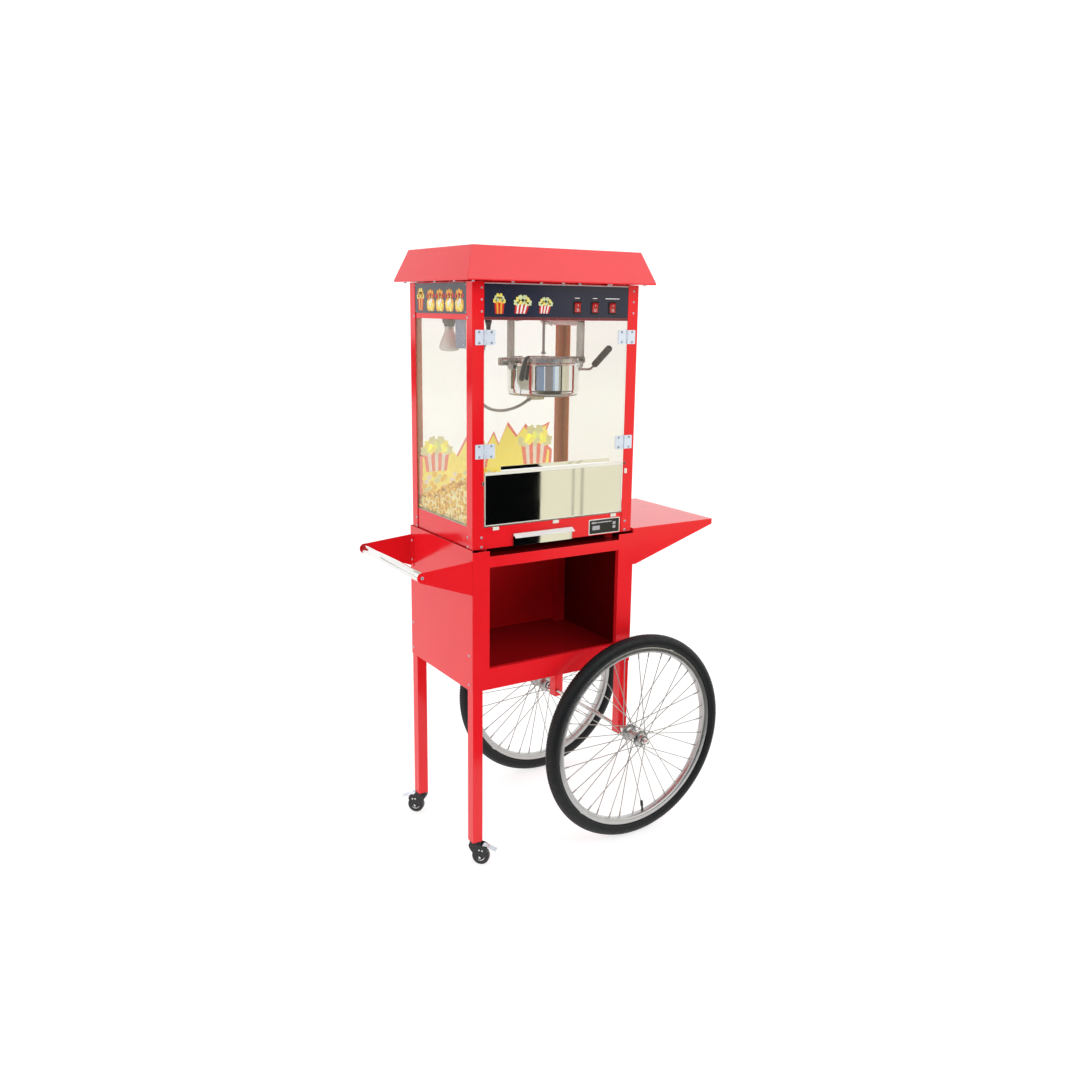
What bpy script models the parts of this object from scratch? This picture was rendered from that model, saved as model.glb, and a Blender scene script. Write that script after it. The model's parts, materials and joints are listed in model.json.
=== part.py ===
"""Theatre-style popcorn machine on its two-wheeled cart. Metres, +Z up, front faces -Y."""
import math

import bpy
import bmesh
from mathutils import Vector

MM = 0.001
X_OFF = -68.0            # machine centre to middle of the overall width

# machine, millimetres, x counted from the machine's own centre
MACH_W, MACH_D = 512.0, 358.0
Z_BASE, Z_DECK, Z_GLASS_TOP, Z_HEAD_TOP = 898.0, 955.4, 1483.0, 1577.4
POST_X, POST_Y, SHEET = 34.0, 31.0, 1.5
EAVE_X, EAVE_Y, ROOF_X, ROOF_Y = 287.0, 214.4, 257.0, 182.7
Z_EAVE, Z_ROOF, HEM = 1578.5, 1663.4, 5.0
DOOR_T, DOOR_Z0, DOOR_Z1, DOOR_AXIS_X, DOOR_AXIS_Y = 3.5, 1113.0, 1480.0, 221.0, -181.8
FLAP_Z0, FLAP_Z1, FLAP_X = 958.4, 1099.5, 219.6
SWITCH_X, SWITCH_Z = (56.0, 112.0, 169.0), 1517.0
DRAWER_X0, DRAWER_X1 = -131.0, 51.0

# kettle
KX, KY, KR = 38.0, -45.0, 99.0
K_BOT, K_RIM, K_AXIS = 1284.0, 1371.0, 1375.0
STRAP_LEFT, STRAP_RIGHT, STRAP_W, STRAP_T = 103.0, 120.4, 36.0, 2.5
CRANK_DY, CRANK_DZ, CRANK_X = -26.0, -25.0, 179.0
GRIP_DIR = (0.0, -0.817, 0.577)

# cart
CART_W, CART_D = 520.0, 377.0
Z_CAB, Z_FLOOR, Z_OPEN0, Z_OPEN1, Z_TOP = 511.0, 545.0, 569.3, 849.4, 894.3
Z_PLATE, STILE, LEG, LEG_GAP = 878.7, 51.0, 30.0, 1.5
SHELF_TIP, SHELF_Z, SHELF_Y = 554.0, 907.0, 187.0
BAR_X, BAR_Z, BAR_R, WING_TIP_R = -404.0, 846.0, 12.5, 14.0
CASTER_TOP, CASTER_R, CASTER_TRAIL = 67.0, 24.5, 17.0
PEDAL_DX = 24.0
CASTERS = {"front": (-243.5, -171.7, -45.0), "rear": (-243.5, 171.7, 135.0)}
WHEEL_R, WHEEL_Y, WHEEL_X = 305.0, 255.0, 239.0
SPOKES, HUB_R, HUB_HALF, FLANGE_Y, RIM_IN = 36, 12.0, 44.0, 27.0, 251.0


def clear_scene():
    for ob in list(bpy.data.objects):
        bpy.data.objects.remove(ob, do_unlink=True)


def material(name, rgb, metallic, roughness, alpha=1.0):
    mat = bpy.data.materials.new(name)
    mat.use_nodes = True
    bsdf = mat.node_tree.nodes["Principled BSDF"]
    bsdf.inputs["Base Color"].default_value = (*rgb, 1.0)
    bsdf.inputs["Metallic"].default_value = metallic
    bsdf.inputs["Roughness"].default_value = roughness
    bsdf.inputs["Alpha"].default_value = alpha
    return mat


LOOKS = {
    "red": ((0.62, 0.01, 0.02), 0.0, 0.25, 1.0),
    "navy": ((0.03, 0.04, 0.07), 0.0, 0.4, 1.0),
    "steel": ((0.62, 0.62, 0.62), 1.0, 0.3, 1.0),
    "chrome": ((0.8, 0.8, 0.8), 1.0, 0.08, 1.0),
    "mirror": ((0.85, 0.85, 0.85), 1.0, 0.03, 1.0),
    "aluminium": ((0.7, 0.7, 0.72), 1.0, 0.35, 1.0),
    "clear": ((0.9, 0.95, 0.95), 0.0, 0.05, 0.35),
    "rubber": ((0.02, 0.02, 0.022), 0.0, 0.7, 1.0),
    "black": ((0.02, 0.02, 0.02), 0.0, 0.45, 1.0),
    "switch": ((0.6, 0.02, 0.03), 0.0, 0.3, 1.0),
    "bulb": ((0.9, 0.88, 0.82), 0.0, 0.3, 1.0),
    "corn": ((0.95, 0.8, 0.35), 0.0, 0.8, 1.0),
    "sleeve": ((0.5, 0.5, 0.48), 0.0, 0.7, 1.0),
}


def make(name, verts, faces):
    """Closed mesh from millimetre points, normals out."""
    mesh = bpy.data.meshes.new(name)
    mesh.from_pydata([((x + X_OFF) * MM, y * MM, z * MM) for x, y, z in verts], [], faces)
    bm = bmesh.new()
    bm.from_mesh(mesh)
    bmesh.ops.remove_doubles(bm, verts=bm.verts, dist=1e-7)
    bmesh.ops.recalc_face_normals(bm, faces=bm.faces)
    bm.to_mesh(mesh)
    bm.free()
    ob = bpy.data.objects.new(name, mesh)
    bpy.context.scene.collection.objects.link(ob)
    return ob


def box(x0, x1, y0, y1, z0, z1, name="tool"):
    v = [(x, y, z) for x in (x0, x1) for y in (y0, y1) for z in (z0, z1)]
    f = [(0, 1, 3, 2), (4, 6, 7, 5), (0, 4, 5, 1), (2, 3, 7, 6), (0, 2, 6, 4), (1, 5, 7, 3)]
    return make(name, v, f)


def place(axis, a, b, h):
    """(a, b) in the plane across an axis, h along it."""
    return {"X": (h, a, b), "Y": (a, h, b), "Z": (a, b, h)}[axis]


def prism(axis, pts, h0, h1, name="tool"):
    n = len(pts)
    v = [place(axis, a, b, h) for h in (h0, h1) for a, b in pts]
    f = [tuple(range(n)), tuple(range(n, 2 * n))]
    f += [(i, (i + 1) % n, n + (i + 1) % n, n + i) for i in range(n)]
    return make(name, v, f)


def lathe(axis, profile, n, centre=(0.0, 0.0), ring=True, name="tool"):
    """Profile of (radius, height). ring=True closes it on itself, else it runs pole to pole."""
    v, rows = [], []
    for r, h in profile:
        if r < 1e-9:
            rows.append([len(v)])
            v.append(place(axis, centre[0], centre[1], h))
            continue
        rows.append(list(range(len(v), len(v) + n)))
        for i in range(n):
            t = 2 * math.pi * i / n
            v.append(place(axis, centre[0] + r * math.cos(t), centre[1] + r * math.sin(t), h))
    f = []
    last = len(rows) if ring else len(rows) - 1
    for k in range(last):
        a, b = rows[k], rows[(k + 1) % len(rows)]
        for i in range(n):
            j = (i + 1) % n
            quad = [a[i % len(a)], a[j % len(a)], b[j % len(b)], b[i % len(b)]]
            f.append(tuple(dict.fromkeys(quad)))
    return make(name, v, f)


def cylinder(axis, r, h0, h1, centre, n=20, name="tool"):
    return lathe(axis, [(0, h0), (r, h0), (r, h1), (0, h1)], n, centre, False, name)


def ring_tube(axis, r_out, r_in, h0, h1, centre, n=24, name="tool"):
    return lathe(axis, [(r_out, h0), (r_out, h1), (r_in, h1), (r_in, h0)], n, centre, True, name)


def sweep(points, radius, n=8, name="tool", turn=0.0):
    """Round bar along a polyline."""
    pts = [Vector(p) for p in points]
    v, f, side = [], [], None
    for k, p in enumerate(pts):
        ahead = pts[min(k + 1, len(pts) - 1)] - pts[max(k - 1, 0)]
        t = ahead.normalized()
        if side is None:
            side = t.orthogonal().normalized()
        side = (side - t * side.dot(t)).normalized()
        up = t.cross(side)
        for i in range(n):
            a = 2 * math.pi * i / n + turn
            v.append(tuple(p + side * (radius * math.cos(a)) + up * (radius * math.sin(a))))
    for k in range(len(pts) - 1):
        for i in range(n):
            j = (i + 1) % n
            f.append((k * n + i, k * n + j, (k + 1) * n + j, (k + 1) * n + i))
    f += [tuple(range(n)), tuple(range((len(pts) - 1) * n, len(pts) * n))]
    return make(name, v, f)


def combine(ob, tools, operation):
    for tool in tools:
        tool.hide_render = True
        tool.display_type = "WIRE"
        mod = ob.modifiers.new("bool", "BOOLEAN")
        mod.operation = operation
        mod.solver = "EXACT"
        mod.object = tool
    bpy.context.view_layer.update()
    graph = bpy.context.evaluated_depsgraph_get()
    mesh = bpy.data.meshes.new_from_object(ob.evaluated_get(graph))
    ob.modifiers.clear()
    ob.data = mesh
    for tool in tools:
        bpy.data.objects.remove(tool, do_unlink=True)
    return ob


def cut(ob, *tools):
    return combine(ob, tools, "DIFFERENCE")


def add(ob, *tools):
    return combine(ob, tools, "UNION")


def node(name, ob, look, pivot=None):
    """Name a finished piece, give it its own material and put its origin on its axis."""
    rgb, metallic, rough, alpha = LOOKS[look]
    ob.name = name
    ob.data.name = name
    ob.data.materials.clear()
    ob.data.materials.append(material(name, rgb, metallic, rough, alpha))
    for poly in ob.data.polygons:
        poly.material_index = 0
    if pivot:
        origin = Vector(((pivot[0] + X_OFF) * MM, pivot[1] * MM, pivot[2] * MM))
        for vert in ob.data.vertices:
            vert.co -= origin
        ob.location = origin
    return ob


# cart -------------------------------------------------------------------------------------
def cart_panels():
    cx, cy = CART_W / 2, CART_D / 2
    inner = cy - 1.8
    for side, name in ((-1, "cart_panel_left"), (1, "cart_panel_right")):
        xs = sorted((side * cx, side * (cx - 1.2)))
        fl = sorted((side * cx, side * (cx - 16)))
        ob = box(*xs, -inner, inner, Z_CAB, Z_TOP + 5.0)
        node(name, add(ob, box(*fl, -154, 154, Z_CAB, Z_CAB + 1.2)), "red")
    back = box(-cx, cx, cy - 1.4, cy, Z_CAB, Z_TOP + 5.0)
    node("cart_panel_back", add(back, box(-226, 226, cy - 16, cy, Z_CAB, Z_CAB + 1.2)), "red")


def cart_front_frame():
    cx, cy = CART_W / 2, CART_D / 2
    hx = cx - STILE
    ob = box(-cx, cx, -cy, -cy + 1.4, Z_CAB, Z_TOP)
    add(ob, box(-hx - 1.4, hx + 1.4, -cy + 0.6, -cy + 15, Z_OPEN0 - 1.4, Z_OPEN1 + 1.4))
    cut(ob, box(-hx, hx, -cy - 5, -cy + 20, Z_OPEN0, Z_OPEN1))
    cut(ob, box(-hx, hx, -cy - 5, -cy + 20, Z_PLATE + 0.2, Z_TOP + 5))
    node("cart_front_frame", ob, "red")


def cart_plates():
    cx, cy = CART_W / 2 - 1.6, CART_D / 2 - 1.8
    node("cart_deck", box(-cx, cx, -cy, cy, Z_PLATE - 2.2, Z_PLATE), "red")
    a, b = cx - LEG - 0.6, cy - LEG - 0.6
    pts = [(-a, -cy), (a, -cy), (a, -b), (cx, -b), (cx, b), (a, b), (a, cy), (-a, cy), (-a, b),
           (-cx, b), (-cx, -b), (-a, -b)]
    pts = [(x, max(y, -cy + 14.0)) if y == -cy else (x, y) for x, y in pts]
    node("cart_floor", prism("Z", pts, Z_FLOOR - 1.5, Z_FLOOR), "red")


def cart_legs():
    ox, oy = CART_W / 2 - LEG_GAP, CART_D / 2 - LEG_GAP - 0.3
    for sx, xname in ((-1, "left"), (1, "right")):
        for sy, yname in ((-1, "front"), (1, "rear")):
            xs = sorted((sx * ox, sx * (ox - LEG)))
            ys = sorted((sy * oy, sy * (oy - LEG)))
            low = CASTER_TOP + 0.4 if sx < 0 else WHEEL_R - 19.0
            ob = box(*xs, *ys, low, Z_PLATE - 2.6)
            floor = low + 3.0 if sx < 0 else low - 10
            w = SHEET + 0.3
            cut(ob, box(xs[0] + w, xs[1] - w, ys[0] + w, ys[1] - w, floor, Z_PLATE + 10))
            mid = (sum(xs) / 2, sum(ys) / 2)
            if sx < 0:
                cut(ob, cylinder("Z", 5.6, low - 5, low + 10, mid, 16))
            else:
                cut(ob, cylinder("Y", 6.5, ys[0] - 5, ys[1] + 5, (WHEEL_X, WHEEL_R), 16))
            node("leg_" + yname + "_" + xname, ob, "red")


def side_shelf():
    x0, y = CART_W / 2 + 0.3, SHELF_Y
    t = SHEET
    ob = box(x0, SHELF_TIP, -y, y, SHELF_Z - t, SHELF_Z)
    side = [(x0, SHELF_Z - 0.2), (SHELF_TIP, SHELF_Z - 0.2), (SHELF_TIP, SHELF_Z - 16),
            (x0 + 12, SHELF_Z - 106), (x0, SHELF_Z - 106)]
    add(ob, prism("Y", side, -y, -y + t), prism("Y", side, y - t, y),
        box(SHELF_TIP - t, SHELF_TIP, -y + 0.5, y - 0.5, SHELF_Z - 16, SHELF_Z - 0.5),
        box(x0, x0 + t, -y + 0.5, y - 0.5, SHELF_Z - 28, SHELF_Z - 0.5),
        box(x0 + 0.02, x0 + t, -y + 0.5, -y + 18, SHELF_Z - 105.9, SHELF_Z - 20),
        box(x0 + 0.02, x0 + t, y - 18, y - 0.5, SHELF_Z - 105.9, SHELF_Z - 20))
    node("side_shelf", ob, "red")


def handle():
    x0 = -CART_W / 2 - 0.3
    arc = [(BAR_X + WING_TIP_R * math.cos(math.radians(a)), BAR_Z + WING_TIP_R * math.sin(math.radians(a)))
           for a in range(80, 260, 20)]
    side = [(x0, 872.0)] + arc + [(x0, 780.0)]
    for sy, name in ((-1, "handle_wing_front"), (1, "handle_wing_rear")):
        ys = sorted((sy * 188.0, sy * 186.2))
        fl = sorted((sy * 188.0, sy * 168.0))
        ob = prism("Y", side, *ys)
        add(ob, box(x0 - 1.6, x0, *fl, 780.3, 871.7))
        cut(ob, cylinder("Y", 3.2, ys[0] - 3, ys[1] + 3, (BAR_X, BAR_Z), 12))
        node(name, ob, "red")
    node("handle_bar", ring_tube("Y", BAR_R, 10.8, -185.9, 185.9, (BAR_X, BAR_Z), 24), "chrome")


def axle():
    tip = WHEEL_Y + HUB_HALF + 21.0
    nut = WHEEL_Y + HUB_HALF + 1.0
    inner = WHEEL_Y - HUB_HALF - 1.0
    half = [(6.0, 0.0), (6.0, 196.0), (6.0, inner - 9), (11.0, inner - 9), (11.0, inner), (6.0, inner),
            (6.0, nut), (9.5, nut), (9.5, nut + 8), (7.0, nut + 8.5), (6.4, nut + 15), (4.0, tip - 1), (0, tip)]
    prof = [(r, -h) for r, h in reversed(half) if h > 0] + half[1:]
    node("wheel_axle", lathe("Y", prof, 36, (WHEEL_X, WHEEL_R), False), "chrome")


def spun(ob, deg, centre):
    """Turn a millimetre-built mesh about a vertical line through centre."""
    c, s = math.cos(math.radians(deg)), math.sin(math.radians(deg))
    ox, oy = (centre[0] + X_OFF) * MM, centre[1] * MM
    for v in ob.data.vertices:
        x, y = v.co.x - ox, v.co.y - oy
        v.co.x, v.co.y = ox + c * x - s * y, oy + s * x + c * y
    return ob


def casters():
    for tag, (cx, cy, turn) in CASTERS.items():
        wx, wz, top = cx + CASTER_TRAIL, CASTER_R, CASTER_TOP
        fork = cylinder("Z", 16.5, top - 12, top - 0.2, (cx, cy), 24)
        add(fork, cylinder("Z", 5.0, top - 4, top + 26, (cx, cy), 12))
        cheek = [(cx - 15, top - 4), (cx - 13, top - 16), (wx - 14, wz + 2), (wx - 8, wz - 7), (wx + 6, wz - 7),
                 (wx + 16, wz + 6), (wx + 21, top - 18), (wx + 12, top - 12), (cx + 15, top - 4)]
        for sy in (-1, 1):
            ys = sorted((cy + sy * 12.2, cy + sy * 14.4))
            add(fork, prism("Y", cheek, *ys))
        add(fork, box(cx - 12, cx + 14, cy - 13, cy + 13, top - 14, top - 8))
        add(fork, cylinder("Y", 3.2, cy - 16.5, cy + 16.5, (wx, wz), 12))
        node("caster_fork_" + tag, spun(fork, turn, (cx, cy)), "black", (cx, cy, top))
        prof = [(3.3, cy - 10.5), (10, cy - 10.5), (11, cy - 9), (22.5, cy - 9), (CASTER_R, cy - 7),
                (CASTER_R, cy + 7), (22.5, cy + 9), (11, cy + 9), (10, cy + 10.5), (3.3, cy + 10.5)]
        wheel = lathe("Y", prof, 28, (wx, wz), True)
        c, s = math.cos(math.radians(turn)), math.sin(math.radians(turn))
        hub = (cx + c * CASTER_TRAIL, cy + s * CASTER_TRAIL)
        node("caster_wheel_" + tag, spun(wheel, turn, (cx, cy)), "rubber", (*hub, wz))
        # brake pedal hinged between the cheeks, its tread reaching out behind the wheel
        px, pz = cx + PEDAL_DX, top - 12.0
        lever = [(px - 2.4, pz - 2.6), (px + 3.0, pz - 2.9), (px + 14, pz - 3.4), (px + 38, pz - 10.2),
                 (px + 38, pz - 8.4), (px + 15, pz + 0.6), (px + 4, pz + 3.0), (px - 2.4, pz + 2.4)]
        pedal = prism("Y", lever, cy - 10.0, cy + 10.0)
        add(pedal, cylinder("Y", 3.4, cy - 11.4, cy + 11.4, (px, pz), 12))
        hinge = (cx + c * PEDAL_DX, cy + s * PEDAL_DX, pz)
        node("brake_pedal_" + tag, spun(pedal, turn, (cx, cy)), "steel", hinge)


def road_wheels():
    for sy, tag in ((-1, "front"), (1, "rear")):
        y0 = sy * WHEEL_Y
        hub_axis = (WHEEL_X, WHEEL_R)
        outer, n, mid = [], 48, WHEEL_R - 20.0
        for k in range(11):
            t = math.radians(-42 + k * (264 / 10))
            outer.append((mid + 20.0 * math.sin(t), y0 + 21.0 * math.cos(t)))
        inner = []
        for k in range(7):
            t = math.radians(-34 + k * (248 / 6))
            inner.append((mid + 16.5 * math.sin(t), y0 + 17.5 * math.cos(t)))
        tyre = lathe("Y", outer + list(reversed(inner)), n, hub_axis, True)
        node("tyre_" + tag, tyre, "rubber", (WHEEL_X, y0, WHEEL_R))
        rim = [(269.6, y0 - 13), (269.6, y0 - 11.4), (257, y0 - 11), (255, y0 - 7), (255, y0 + 7),
               (257, y0 + 11), (269.6, y0 + 11.4), (269.6, y0 + 13), (255, y0 + 12.6),
               (RIM_IN, y0 + 7), (RIM_IN, y0 - 7), (255, y0 - 12.6)]
        node("rim_" + tag, lathe("Y", rim, n, hub_axis, True), "aluminium", (WHEEL_X, y0, WHEEL_R))
        node("spoked_hub_" + tag, spoked_hub(y0), "chrome", (WHEEL_X, y0, WHEEL_R))


def spoked_hub(y0):
    h, fy = HUB_HALF, FLANGE_Y
    prof = [(6.1, y0 - h), (14, y0 - h), (15, y0 - fy - 2), (25, y0 - fy - 1.6), (25, y0 - fy + 1.6),
            (HUB_R, y0 - fy + 4), (HUB_R, y0 + fy - 4), (25, y0 + fy - 1.6), (25, y0 + fy + 1.6),
            (15, y0 + fy + 2), (14, y0 + h), (6.1, y0 + h)]
    hub = lathe("Y", prof, 36, (WHEEL_X, WHEEL_R), True)
    verts, faces = [], []
    per = SPOKES // 2
    for i in range(SPOKES):
        flange = -1 if i % 2 else 1
        k = i // 2
        lead = 1 if k % 2 else -1
        rim_a = 2 * math.pi * i / SPOKES
        hub_a = rim_a + lead * math.radians(54) + flange * math.pi / per / 4
        yf = y0 + flange * (fy + lead * 1.2)
        yr = y0 + flange * 4.0 + lead * flange * 1.6
        a = Vector((WHEEL_X + 22.5 * math.cos(hub_a), yf, WHEEL_R + 22.5 * math.sin(hub_a)))
        b = Vector((WHEEL_X + (RIM_IN - 0.9) * math.cos(rim_a), yr, WHEEL_R + (RIM_IN - 0.9) * math.sin(rim_a)))
        t = (b - a).normalized()
        side = t.cross(Vector((0, 1, 0))).normalized()
        up = t.cross(side)
        base = len(verts)
        for p in (a, b):
            for su, uu in ((-1, -1), (1, -1), (1, 1), (-1, 1)):
                verts.append(tuple(p + side * su * 0.9 + up * uu * 0.9))
        faces += [tuple(base + q for q in quad) for quad in
                  ((0, 1, 2, 3), (4, 5, 6, 7), (0, 1, 5, 4), (1, 2, 6, 5), (2, 3, 7, 6), (3, 0, 4, 7))]
    return add(hub, make("tool", verts, faces))


# machine ----------------------------------------------------------------------------------
def posts():
    hx, hy = MACH_W / 2, MACH_D / 2
    for sx, xname in ((-1, "left"), (1, "right")):
        for sy, yname in ((-1, "front"), (1, "rear")):
            t = 2.0
            pts = [(sx * hx, sy * hy), (sx * (hx - POST_X), sy * hy), (sx * (hx - POST_X), sy * (hy - t)),
                   (sx * (hx - t), sy * (hy - t)), (sx * (hx - t), sy * (hy - POST_Y)),
                   (sx * hx, sy * (hy - POST_Y))]
            node("post_" + yname + "_" + xname, prism("Z", pts, Z_BASE + 0.4, Z_HEAD_TOP - 0.2), "red")


def tray(hx, hy, z0, z1, t, open_top=True):
    ob = box(-hx, hx, -hy, hy, z0, z1)
    if open_top:
        return cut(ob, box(-hx + t, hx - t, -hy + t, hy - t, z0 + t, z1 + 10))
    return cut(ob, box(-hx + t, hx - t, -hy + t, hy - t, z0 - 10, z1 - t))


def base_housing():
    hx, hy = MACH_W / 2 - 2.4, MACH_D / 2 - 2.4
    ob = tray(hx, hy, Z_BASE, Z_DECK - 0.3, SHEET)
    cut(ob, box(DRAWER_X0 - 0.6, DRAWER_X1 + 0.6, -hy - 8, -hy + 8, Z_BASE + 2.2, Z_BASE + 32.4))
    for sx in (-1, 1):
        for sy in (-1, 1):
            add(ob, cylinder("Z", 13, Z_PLATE + 0.3, Z_BASE + 1.0, (sx * 205, sy * 140), 16))
    node("base_housing", ob, "red")


def popcorn_deck():
    hx, hy = MACH_W / 2 - 2.8, MACH_D / 2 - 2.8
    ob = box(-hx, hx, -hy, hy, Z_DECK, Z_DECK + 1.5)
    holes = [cylinder("Z", 5.0, Z_DECK - 5, Z_DECK + 5, (DRAWER_X0 + 30 + 24 * i, -120 + 24 * j), 8)
             for i in range(6) for j in range(5)]
    node("popcorn_deck", cut(ob, *holes), "steel")


def crumb_drawer():
    y0, y1 = -MACH_D / 2, 130.0
    x0, x1 = DRAWER_X0, DRAWER_X1
    z0, z1 = Z_BASE + 2.8, Z_BASE + 31.0
    ob = box(x0, x1, y0, y1, z0, z1)
    cut(ob, box(x0 + 1.2, x1 - 1.2, y0 + 1.2, y1 - 1.2, z0 + 1.2, z1 + 10))
    front = [(y0 - 1.6, Z_BASE - 0.6), (y0 + 0.4, Z_BASE - 0.6), (y0 + 0.4, Z_BASE + 33.4), (y0 - 1.6, Z_BASE + 33.4),
             (y0 - 15.5, Z_BASE + 24.6), (y0 - 14.6, Z_BASE + 23.0), (y0 - 1.6, Z_BASE + 31.2)]
    add(ob, prism("X", front, x0 - 3.0, x1 + 3.0))
    node("crumb_drawer", ob, "chrome", ((x0 + x1) / 2, y0, Z_BASE + 16))


def header():
    hx, hy = MACH_W / 2 - 2.4, MACH_D / 2 - 2.4
    ob = tray(hx, hy, Z_GLASS_TOP + 0.6, Z_HEAD_TOP, SHEET)
    cut(ob, cylinder("Z", 9.0, Z_GLASS_TOP - 10, Z_GLASS_TOP + 10, (KX, KY), 16))
    cut(ob, box(30, 195, -hy - 6, -hy + 6, Z_GLASS_TOP + 12, Z_GLASS_TOP + 56))
    node("header_housing", ob, "red")
    y0 = -MACH_D / 2
    panel = box(-221.2, 221.2, y0 + 0.2, y0 + 2.1, 1491.5, 1571.5)
    for x in SWITCH_X:
        add(panel, box(x - 12.8, x + 12.8, y0 - 1.6, y0 + 1.8, SWITCH_Z - 16.4, SWITCH_Z + 16.4))
    for x in SWITCH_X:
        cut(panel, box(x - 9.8, x + 9.8, y0 - 10, y0 + 10, SWITCH_Z - 13.8, SWITCH_Z + 13.8))
    node("control_panel", panel, "navy")


def rocker_switches():
    y0 = -MACH_D / 2
    for x, name in zip(SWITCH_X, ("rocker_light", "rocker_stirrer", "rocker_kettle")):
        side = [(y0 + 13, SWITCH_Z - 5), (y0 + 9, SWITCH_Z - 11.5), (y0 - 1.2, SWITCH_Z - 12.7),
                (y0 - 3.4, SWITCH_Z - 12.2), (y0 - 1.8, SWITCH_Z), (y0 - 4.6, SWITCH_Z + 12.2),
                (y0 - 2.0, SWITCH_Z + 12.7), (y0 + 9, SWITCH_Z + 11.5), (y0 + 13, SWITCH_Z + 5)]
        node(name, prism("X", side, x - 9.3, x + 9.3), "switch", (x, y0 + 4.0, SWITCH_Z))


def roof_canopy():
    t = 1.5

    def shell(ex, ey, rx, ry, z_top):
        v = [(sx * ex, sy * ey, Z_EAVE) for sx, sy in ((-1, -1), (1, -1), (1, 1), (-1, 1))]
        v += [(sx * ex, sy * ey, Z_EAVE + HEM) for sx, sy in ((-1, -1), (1, -1), (1, 1), (-1, 1))]
        v += [(sx * rx, sy * ry, z_top) for sx, sy in ((-1, -1), (1, -1), (1, 1), (-1, 1))]
        f = [(0, 3, 2, 1), (8, 9, 10, 11)]
        for k in (0, 4):
            f += [(k + i, k + (i + 1) % 4, k + 4 + (i + 1) % 4, k + 4 + i) for i in range(4)]
        return make("tool", v, f)

    ob = shell(EAVE_X, EAVE_Y, ROOF_X, ROOF_Y, Z_ROOF)
    inner = shell(EAVE_X - t, EAVE_Y - t, ROOF_X - t, ROOF_Y - t, Z_ROOF - t)
    for v in inner.data.vertices:
        if v.co.z < (Z_EAVE + 1) * MM:
            v.co.z -= 10 * MM
    cut(ob, inner)
    lip = box(-EAVE_X + 0.4, EAVE_X - 0.4, -EAVE_Y + 0.4, EAVE_Y - 0.4, Z_EAVE, Z_EAVE + 1.2)
    cut(lip, box(-250, 250, -173, 173, Z_EAVE - 5, Z_EAVE + 5))
    node("roof_canopy", add(ob, lip), "red")


def glazing():
    hx, hy = MACH_W / 2 - 2.6, MACH_D / 2 - 2.6
    z0, z1 = Z_DECK + 2.0, Z_GLASS_TOP
    node("glass_left", box(-hx, -hx + 3, -hy + 4.5, hy - 4, z0, z1), "clear")
    node("glass_right", box(hx - 3, hx, -hy + 4.5, hy - 4, z0, z1), "clear")
    node("glass_rear", box(-hx + 0.2, hx - 0.2, hy - 3.2, hy - 0.2, z0, z1), "clear")


def doors():
    y0 = -MACH_D / 2 + 0.7
    for s, name in ((-1, "door_left"), (1, "door_right")):
        xs = sorted((s * 219.4, s * 0.8))
        ob = box(*xs, y0, y0 + DOOR_T, DOOR_Z0, DOOR_Z1)
        for z in (1155.0, 1441.0):
            add(ob, cylinder("Z", 2.6, z - 19, z + 19, (s * DOOR_AXIS_X, DOOR_AXIS_Y), 12))
            lf = sorted((s * DOOR_AXIS_X, s * 194.0))
            add(ob, box(*lf, DOOR_AXIS_Y + 0.2, y0 + 0.5, z - 19, z + 19))
        node(name, ob, "clear", (s * DOOR_AXIS_X, DOOR_AXIS_Y, (DOOR_Z0 + DOOR_Z1) / 2))


def serving_flap():
    y0 = -MACH_D / 2 + 0.7
    ob = box(-FLAP_X, FLAP_X, y0, y0 + 3.0, FLAP_Z0, FLAP_Z1)
    lip = [(y0 + 1.0, FLAP_Z1 - 3.0), (y0 + 26, FLAP_Z1 + 7.5), (y0 + 26, FLAP_Z1 + 9.5), (y0 + 1.0, FLAP_Z1 - 0.4)]
    add(ob, prism("X", lip, -158.0, 192.0))
    node("serving_flap", ob, "mirror", (0, y0, FLAP_Z0))


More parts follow.
